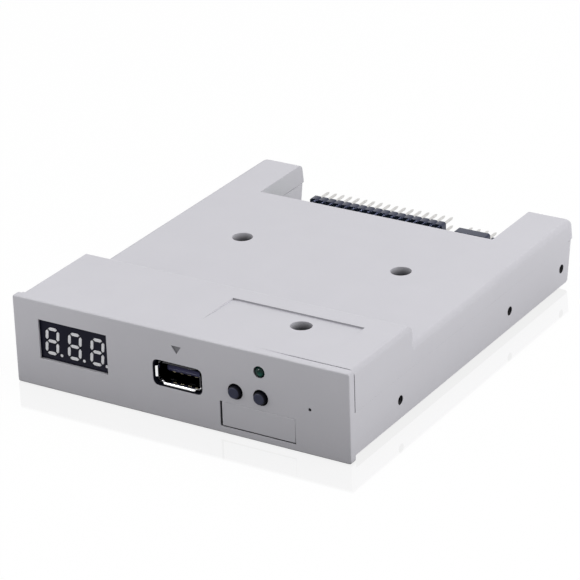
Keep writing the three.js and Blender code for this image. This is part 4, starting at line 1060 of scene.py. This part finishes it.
@dataclass
class StickSocket:
    """The memory stick socket's drawn steel shell, springs and tongue, and a black lining of painted shade
    in the opening.
    """

    sheet: float = 0.32 * MM
    corner: float = 0.75 * MM
    lip_radius: float = 0.72 * MM
    lip_turn: float = 58.0
    lip_rows: int = 9
    lip_shares: tuple[float, float] = (0.04, 0.16)
    notch: float = 1.2 * MM
    inner: tuple[float, float] = (12.5 * MM, 5.12 * MM)
    bore_shares: tuple[float, ...] = (0.1, 0.25, 0.5, 0.75, 1.0)
    spring_bow: float = 0.42 * MM
    spring_width: float = 1.9 * MM
    spring_place: float = 2.9 * MM
    spring_start: float = 2.2 * MM
    spring_length: float = 5.2 * MM
    spring_taper_share: float = 0.25
    spring_foot_share: float = 1.15
    spring_sheet_shares: tuple[float, float] = (0.25, 0.6)
    spring_rows: int = 18
    tongue_edge: float = 0.12 * MM
    opening: tuple[float, float] = (15.0 * MM, 7.3 * MM)
    opening_corner: float = 1.8 * MM
    rise: float = 12.65 * MM
    painted_shade_lining_reach: tuple[float, float] = (0.01 * MM, 0.13 * MM)
    painted_shade_lining_run: tuple[float, float] = (0.15 * MM, 2.5 * MM)
    corner_steps: int = 12
    side_steps: int = 30

    def perimeter(
        self, size: Sequence[float], corner: float
    ) -> tuple[np.ndarray, np.ndarray, np.ndarray]:
        """Walks once round a rectangle with rounded corners.

        Each side is divided evenly and each corner is a quarter circle.

        Args:
            size: Width and height.
            corner: Radius of the corners.

        Returns:
            Points, outward normals, and how far each point is from a corner, 0 to 1.
        """
        half = np.array(size) / 2 - corner
        signs = np.array([[1, 1], [-1, 1], [-1, -1], [1, -1]])
        centres = signs * half
        turns = np.linspace(0, np.pi / 2, self.corner_steps + 1)
        angle = turns[None] + np.arange(4)[:, None] * np.pi / 2
        round_normal = np.stack([np.cos(angle), np.sin(angle)], axis=-1)
        round_place = centres[:, None] + corner * round_normal
        share = np.linspace(0, 1, self.side_steps + 1)[1:-1][None, :, None]
        start, end = round_place[:, -1:], np.roll(round_place, -1, axis=0)[:, :1]
        side_place = start + share * (end - start)
        side_normal = np.broadcast_to(round_normal[:, -1:], side_place.shape)
        places = np.concatenate([round_place, side_place], axis=1).reshape(-1, 2)
        normals = np.concatenate([round_normal, side_normal], axis=1).reshape(-1, 2)
        on_corners = np.zeros((4, self.corner_steps + 1))
        on_sides = np.repeat(1 - np.abs(2 * share[..., 0] - 1), 4, axis=0)
        return places, normals, np.concatenate([on_corners, on_sides], axis=1).reshape(-1)

    def shell(self) -> None:
        """Draws the shell as one skin: out along the outside, over the mouth and back inside.

        Near the mouth each side leans out along a circle's arc, and the corners are cut back,
        so that four lips stand apart.
        """
        box = Box.of("usb_socket_shell")
        angle = np.radians(np.linspace(self.lip_turn, 0, self.lip_rows))[:, None]
        flare = self.lip_radius * (1 - math.cos(angle[0, 0]))
        length = self.lip_radius * math.sin(angle[0, 0])
        middle_x, middle_z = box.middle[0], box.high[2] - flare - self.sheet - self.inner[1] / 2
        front, rear = box.low[1], box.high[1]
        places, normals, middle = self.perimeter(self.inner, self.corner)
        lip = smoothstep(*self.lip_shares, middle)
        mouth = front + self.notch * (1 - lip)
        share = np.sin(angle) / math.sin(angle[0, 0])
        lip_depth = mouth + (front + length - mouth) * (1 - share)
        lean = self.lip_radius * (1 - np.cos(angle)) * lip
        deep = np.array(self.bore_shares)[:, None]
        straight = front + length + deep * (rear - front - length)
        flat = np.zeros_like(straight * mouth)

        def skin(offset: float, back: float) -> tuple[np.ndarray, np.ndarray]:
            """Returns offsets and depths of one face of the sheet, from the mouth to the rear."""
            depth = np.concatenate([lip_depth, np.minimum(straight * np.ones_like(mouth), back)])
            return np.concatenate([lean, flat]) + offset, depth

        inside, inside_depth = skin(0.0, rear - self.sheet)
        outside, outside_depth = skin(self.sheet, rear)
        offset = np.concatenate([outside[::-1], inside])
        depth = np.concatenate([outside_depth[::-1], inside_depth])
        section = places + offset[..., None] * normals
        points = np.stack([middle_x + section[..., 0], depth, middle_z + section[..., 1]], axis=-1)
        pole_rear = np.broadcast_to([middle_x, rear, middle_z], points[:1].shape)
        pole_inner = np.broadcast_to([middle_x, rear - self.sheet, middle_z], points[:1].shape)
        points = np.concatenate([pole_rear, points, pole_inner])
        dress(grid_piece("socket_shell", points, sharp=50), Finishes.MOUTH, "usb_socket_shell")
        self.springs(middle_x, middle_z, front)

    def springs(self, middle_x: float, middle_z: float, front: float) -> None:
        """Adds the four springs that press on the plug: strips that bow into the bore.

        A strip's height off the wall is a raised cosine of the way along it.

        Args:
            middle_x: Middle of the socket across.
            middle_z: Middle of the socket in height.
            front: Front of the shell.
        """
        along = np.linspace(0, 1, self.spring_rows)[:, None]
        swing = 2 * np.pi * np.clip(along * self.spring_foot_share, 0, 1)
        bow = self.spring_bow * (1 - np.cos(swing)) / 2
        sunk, thick = (self.sheet * share for share in self.spring_sheet_shares)
        width = self.spring_width * (1 - self.spring_taper_share * along)
        depth = front + self.spring_start + along * self.spring_length * np.ones(4)
        ring = np.array([[-0.5, 0], [0.5, 0], [0.5, 1], [-0.5, 1]])
        strips = []
        for side, turn in ((1, -1), (1, 1), (-1, -1), (-1, 1)):
            wall = middle_z + side * (self.inner[1] / 2 + sunk)
            height = wall - side * (bow + ring[:, 1] * thick)
            across = middle_x + turn * self.spring_place + ring[:, 0] * width
            strips.append(capped(np.stack([across, depth, height], axis=-1)))
        dress(grid_piece("socket_springs", np.stack(strips)), Finishes.MOUTH)

    def painted_shade_lining(self) -> None:
        """Lines the panel's opening with a thin black sheet of painted shade: its section, carried round
        the edge.
        """
        places, normals, _ = self.perimeter(self.opening, self.opening_corner)
        (near, far), (mouth, back) = self.painted_shade_lining_reach, self.painted_shade_lining_run
        ring = np.array([[near, mouth], [far, mouth], [far, back], [near, back], [near, mouth]])
        section = places - ring[:, :1, None] * normals
        front = Box.of("base_shell").low[1]
        depth = np.broadcast_to(front + ring[:, 1:], section.shape[:2])
        points = np.stack([section[..., 0], depth, self.rise + section[..., 1]], axis=-1)
        dress(grid_piece("socket_painted_shade_lining", points), Finishes.BLACK)

    def build(self) -> None:
        """Makes the lining of painted shade, the shell, its springs and its tongue."""
        self.painted_shade_lining()
        self.shell()
        tongue = BrokenEdges(self.tongue_edge).copy("usb_socket_insulator", "socket_tongue")
        dress(tongue, Finishes.TONGUE, "usb_socket_insulator")


@dataclass
class Header:
    """Rows of square pins bent to the rear out of one black strip housing."""

    housing: str
    rows: tuple[str, ...]
    columns: int
    pitch: float = 2.54 * MM
    size: float = 0.64 * MM
    chamfer: float = 0.07 * MM
    edge: float = 0.07 * MM
    bend: float = 0.55 * MM
    bend_steps: int = 8
    point: float = 0.9 * MM
    leg_point: float = 0.54 * MM
    blunt: float = 0.02 * MM
    blunt_share: float = 0.42
    pad_radius: float = 0.9 * MM
    pad_levels: tuple[float, float] = (0.02 * MM, -0.03 * MM)
    cone_radius: float = 0.36 * MM
    cone_flare: float = 0.44 * MM
    cone_height: float = 0.75 * MM
    cone_tip: float = 0.8 * MM
    cone_rows: int = 7
    cone_steps: int = 14

    def pins(self, node: str) -> None:
        """Carries a chamfered square along a path: up the leg, round the bend, out to the tip.

        The section shrinks towards both ends, which points them.

        Args:
            node: CAD node of the row.
        """
        box = Box.of(node)
        half = self.size / 2
        leg, rise = box.low[1] + half, box.high[2] - half
        tail, tip = box.low[2], box.high[1]
        curve = arc((leg + self.bend, rise - self.bend), self.bend, 180, 90, self.bend_steps)
        start = [[leg, tail], [leg, tail + self.blunt], [leg, tail + self.leg_point]]
        end = [[tip - self.point, rise], [tip - self.blunt, rise], [tip, rise]]
        path = np.concatenate([start, curve, end])
        heading = np.gradient(path, axis=0)
        heading /= np.linalg.norm(heading, axis=1, keepdims=True)
        normal = np.stack([-heading[:, 1], heading[:, 0]], axis=-1)
        scale = np.ones(len(path))
        scale[[0, -1]] = 0
        scale[[1, -2]] = self.blunt_share
        flat = half - self.chamfer
        side = [[half, -flat], [half, flat], [flat, half], [-flat, half]]
        section = np.array(side + [[-x, -z] for x, z in side])
        spread = scale[:, None, None] * section
        drawn = path[:, None] + spread[..., 1:] * normal[:, None]
        pin = np.concatenate([spread[..., :1], drawn], axis=-1)
        places = box.middle[0] + (np.arange(self.columns) - (self.columns - 1) / 2) * self.pitch
        row = self.row(pin, places)
        dress(grid_piece(node.replace("header", "bent"), row, sharp=30), Finishes.TIN, node)
        self.joints(node.replace("header", "solder"), places, leg)

    @staticmethod
    def row(points: np.ndarray, places: np.ndarray) -> np.ndarray:
        """Repeats a grid of points at several places across.

        Args:
            points: Array of (rows, steps, 3).
            places: How far each copy is shifted along X.

        Returns:
            Array of (places, rows, steps, 3).
        """
        shift = places[:, None] * np.array([1.0, 0.0, 0.0])
        return points[None] + shift[:, None, None]

    def joints(self, name: str, places: np.ndarray, leg: float) -> None:
        """Adds the solder cones under the board, each a ring pad that sweeps up to its pin.

        The radius falls with the square of the height's share.

        Args:
            name: Name of the piece.
            places: X of each pin.
            leg: Y of the pins' legs.
        """
        under = Box.of("main_circuit_board").low[2]
        share = np.linspace(0, 1, self.cone_rows)
        radius = self.cone_radius + self.cone_flare * (1 - share) ** 2
        sweep = np.stack([radius, under - self.cone_height * share], axis=-1)
        high, low = (under + level for level in self.pad_levels)
        pad = [[0, high], [self.pad_radius, high], [self.pad_radius, low]]
        profile = np.concatenate([pad, sweep, [[0, under - self.cone_tip]]])
        cone = turned(profile, (0.0, leg), Axis.UP, self.cone_steps)
        dress(grid_piece(name, self.row(cone, places)), Finishes.TIN)

    def build(self) -> None:
        """Makes the housing, the pins and their joints."""
        strip = BrokenEdges(self.edge).copy(self.housing, f"{self.housing}_strip")
        dress(strip, Finishes.STRIP, self.housing)
        for row in self.rows:
            self.pins(row)


@dataclass
class InnerParts:
    """The CAD nodes, which keep their shapes. Most wear the plain finish of their slot."""

    others: tuple[tuple[str, Finishes], ...] = (
        ("crystal_can", Finishes.ALUMINIUM),
        ("jumper_block_pins", Finishes.TIN),
        ("resistor_network", Finishes.CHIP),
    )

    def build(self) -> None:
        """Gives every CAD node its finish."""
        plain: dict[str, Finishes] = {}
        for finish in Finishes:
            plain.setdefault(finish.value.slot, finish)
        for name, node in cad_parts.items():
            own = [finish for start, finish in self.others if name.startswith(start)]
            finish = own[0] if own else plain[node.data.materials[0].name]
            node.data.materials.clear()
            node.data.materials.append(finish.value.material())
            log.info("%s keeps its solid, %s", name, finish.value.slot)


# The studio


def placed(
    name: str, data: bpy.types.ID, axes: Sequence[Sequence[float]], place: Sequence[float]
) -> bpy.types.Object:
    """Makes the object of a light or a camera.

    Args:
        name: Name of the object.
        data: The light or the camera.
        axes: Directions of its own X, Y and Z in the drive's frame.
        place: Its place.

    Returns:
        The object.
    """
    item = bpy.data.objects.new(name, data)
    turn = np.eye(4)
    turn[:3, :3] = np.stack(axes, axis=1)
    turn[:3, 3] = place
    item.matrix_world = Matrix(turn.tolist())
    bpy.context.scene.collection.objects.link(item)
    return item


@dataclass(frozen=True)
class Lamp:
    """A square soft light that points at the drive."""

    name: str
    place: tuple[float, float, float]
    size: float
    power: float
    glint: bool = False

    def build(self) -> None:
        """Makes the light and turns its face to the middle of the drive.

        A glint lights only glossy surfaces.
        """
        data = bpy.data.lights.new(self.name, "AREA")
        data.shape = "SQUARE"
        data.size = self.size
        data.energy = self.power
        back = np.array(self.place) / np.linalg.norm(self.place)
        side = np.cross([0.0, 0.0, 1.0], back)
        side /= np.linalg.norm(side)
        lamp = placed(self.name, data, (side, np.cross(back, side), back), self.place)
        lamp.visible_diffuse = not self.glint


@dataclass
class Studio:
    """Camera, lights, floor and the white that the camera sees behind the drive."""

    camera_place: tuple[float, float, float] = (0.38333, -0.61938, 0.34505)
    right: tuple[float, float, float] = (0.854935, 0.517829, -0.030641)
    down: tuple[float, float, float] = (0.191641, -0.370185, -0.908976)
    forward: tuple[float, float, float] = (-0.482037, 0.771243, -0.415721)
    sensor: float = 36.0
    focal_pixels: float = 2965.5
    image: float = 580.0
    clip: tuple[float, float] = (0.01, 20.0)
    ambient: float = 0.58
    half: tuple[float, float] = (50.8 * MM, 61.5 * MM)
    floor_size: float = 3.0
    floor_sink: float = 0.05 * MM
    floor_tone: float = 0.42
    shade_reach: float = 60 * MM
    side_factor: float = 2.0
    shadow_share: float = 0.04
    strip: tuple[float, float] = (7.5 * MM, 12 * MM)
    strip_shares: tuple[float, float] = (0.94, 1.06)
    strip_gloss: float = 0.13
    strip_roughness: float = 0.03
    lamps: tuple[Lamp, ...] = (
        Lamp("key_light", (0.8, 0.25, 0.92), 0.9, 8.7),
        Lamp("fill_light", (-0.17, -0.2, 0.09), 0.1, 0.06),
        Lamp("glint_light", (-0.45, -0.7, 0.55), 0.2, 5.0, True),
    )

    def camera(self) -> None:
        """Places the camera of the photograph."""
        data = bpy.data.cameras.new("camera")
        data.sensor_width = self.sensor
        data.lens = self.focal_pixels / self.image * self.sensor
        data.clip_start, data.clip_end = self.clip
        axes = (self.right, -np.array(self.down), -np.array(self.forward))
        bpy.context.scene.camera = placed("camera", data, axes, self.camera_place)

    def world(self) -> None:
        """Lights the drive with a plain grey, and shows white to the camera and to gloss."""
        world = bpy.data.worlds.new("studio")
        bpy.context.scene.world = world
        world.use_nodes = True
        tree = world.node_tree
        tree.nodes.clear()
        path = tree.nodes.new("ShaderNodeLightPath")
        seen = path.outputs["Is Camera Ray"]
        for ray in ("Is Glossy Ray", "Is Transmission Ray"):
            either = tree.nodes.new("ShaderNodeMath")
            either.operation = "MAXIMUM"
            tree.links.new(seen, either.inputs[0])
            tree.links.new(path.outputs[ray], either.inputs[1])
            seen = either.outputs[0]
        tones = []
        for tone in (self.ambient, 1.0):
            back = tree.nodes.new("ShaderNodeBackground")
            back.inputs["Color"].default_value = (tone, tone, tone, 1)
            tones.append(back)
        mix = tree.nodes.new("ShaderNodeMixShader")
        output = tree.nodes.new("ShaderNodeOutputWorld")
        tree.links.new(seen, mix.inputs[0])
        tree.links.new(tones[0].outputs[0], mix.inputs[1])
        tree.links.new(tones[1].outputs[0], mix.inputs[2])
        tree.links.new(mix.outputs[0], output.inputs[0])

    def floor_material(self) -> bpy.types.Material:
        """Builds the pale floor: white with a soft shadow, and a strip of gloss round the drive.

        To bounced light the floor is grey, with painted shade that darkens it near the drive, less far out
        at its sides.

        Returns:
            The floor's material.
        """
        shader = Shader("pale_floor")
        place = shader.axes(shader.place)
        across, along = (
            shader.math("SUBTRACT", shader.math("ABSOLUTE", place[axis]), self.half[axis])
            for axis in range(2)
        )
        away = shader.math("MAXIMUM", shader.math("MULTIPLY", across, self.side_factor), along)
        tone = shader.span(away, 0.0, self.shade_reach, 0.0, self.floor_tone)
        across, along = (
            shader.math("DIVIDE", gap, width) for gap, width in zip((across, along), self.strip)
        )
        strip = shader.math("MAXIMUM", across, along)
        glossy_share = shader.span(strip, *self.strip_shares, self.strip_gloss, 0.0)

        def mix(factor: float | Socket, first: bpy.types.Node, second: bpy.types.Node) -> bpy.types.Node:
            """Mixes two shaders by a factor."""
            inputs = {0: factor, 1: first.outputs[0], 2: second.outputs[0]}
            return shader.add("ShaderNodeMixShader", inputs)

        white = shader.add("ShaderNodeEmission")
        lit = shader.add("ShaderNodeBsdfDiffuse", {"Color": (1, 1, 1, 1)})
        grey = shader.add("ShaderNodeBsdfDiffuse", {"Color": tone})
        inputs = {"Color": (1, 1, 1, 1), "Roughness": self.strip_roughness}
        gloss = shader.add("ShaderNodeBsdfGlossy", inputs)
        seen = mix(glossy_share, mix(self.shadow_share, white, lit), gloss)
        path = shader.add("ShaderNodeLightPath")
        surface = mix(path.outputs["Is Diffuse Ray"], seen, grey)
        shader.feed(shader.output.inputs["Surface"], surface.outputs[0])
        shader.tree.nodes.remove(shader.surface)
        return shader.material

    def floor(self) -> None:
        """Lays the floor just under the drive."""
        side = np.linspace(-self.floor_size / 2, self.floor_size / 2, 2)
        x, y = np.meshgrid(side, side)
        points = np.stack([x, y, np.full_like(x, -self.floor_sink)], axis=-1)
        floor = grid_piece("floor", points, wrap=False)
        floor.data.materials.append(self.floor_material())

    def build(self) -> None:
        """Sets up the whole studio."""
        bpy.context.scene.view_settings.view_transform = "Standard"
        self.camera()
        self.world()
        self.floor()
        for lamp in self.lamps:
            lamp.build()


def main() -> None:
    """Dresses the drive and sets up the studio."""
    logging.basicConfig(level=logging.INFO, format="%(message)s")
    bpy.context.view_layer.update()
    assemblies: tuple[Callable[[], None], ...] = (
        InnerParts().build,
        Case().build,
        CoverScrews().build,
        InsertsWithPaintedShade().build,
        Buttons().build,
        StatusLamp().build,
        Digits().build,
        StickSocket().build,
        Header(
            "interface_header_housing",
            ("interface_header_lower_pins", "interface_header_upper_pins"),
            17,
        ).build,
        Header("power_header_housing", ("power_header_pins",), 4).build,
        Studio().build,
    )
    for assemble in assemblies:
        assemble()
    bpy.context.view_layer.update()


if __name__ == "__main__":
    main()
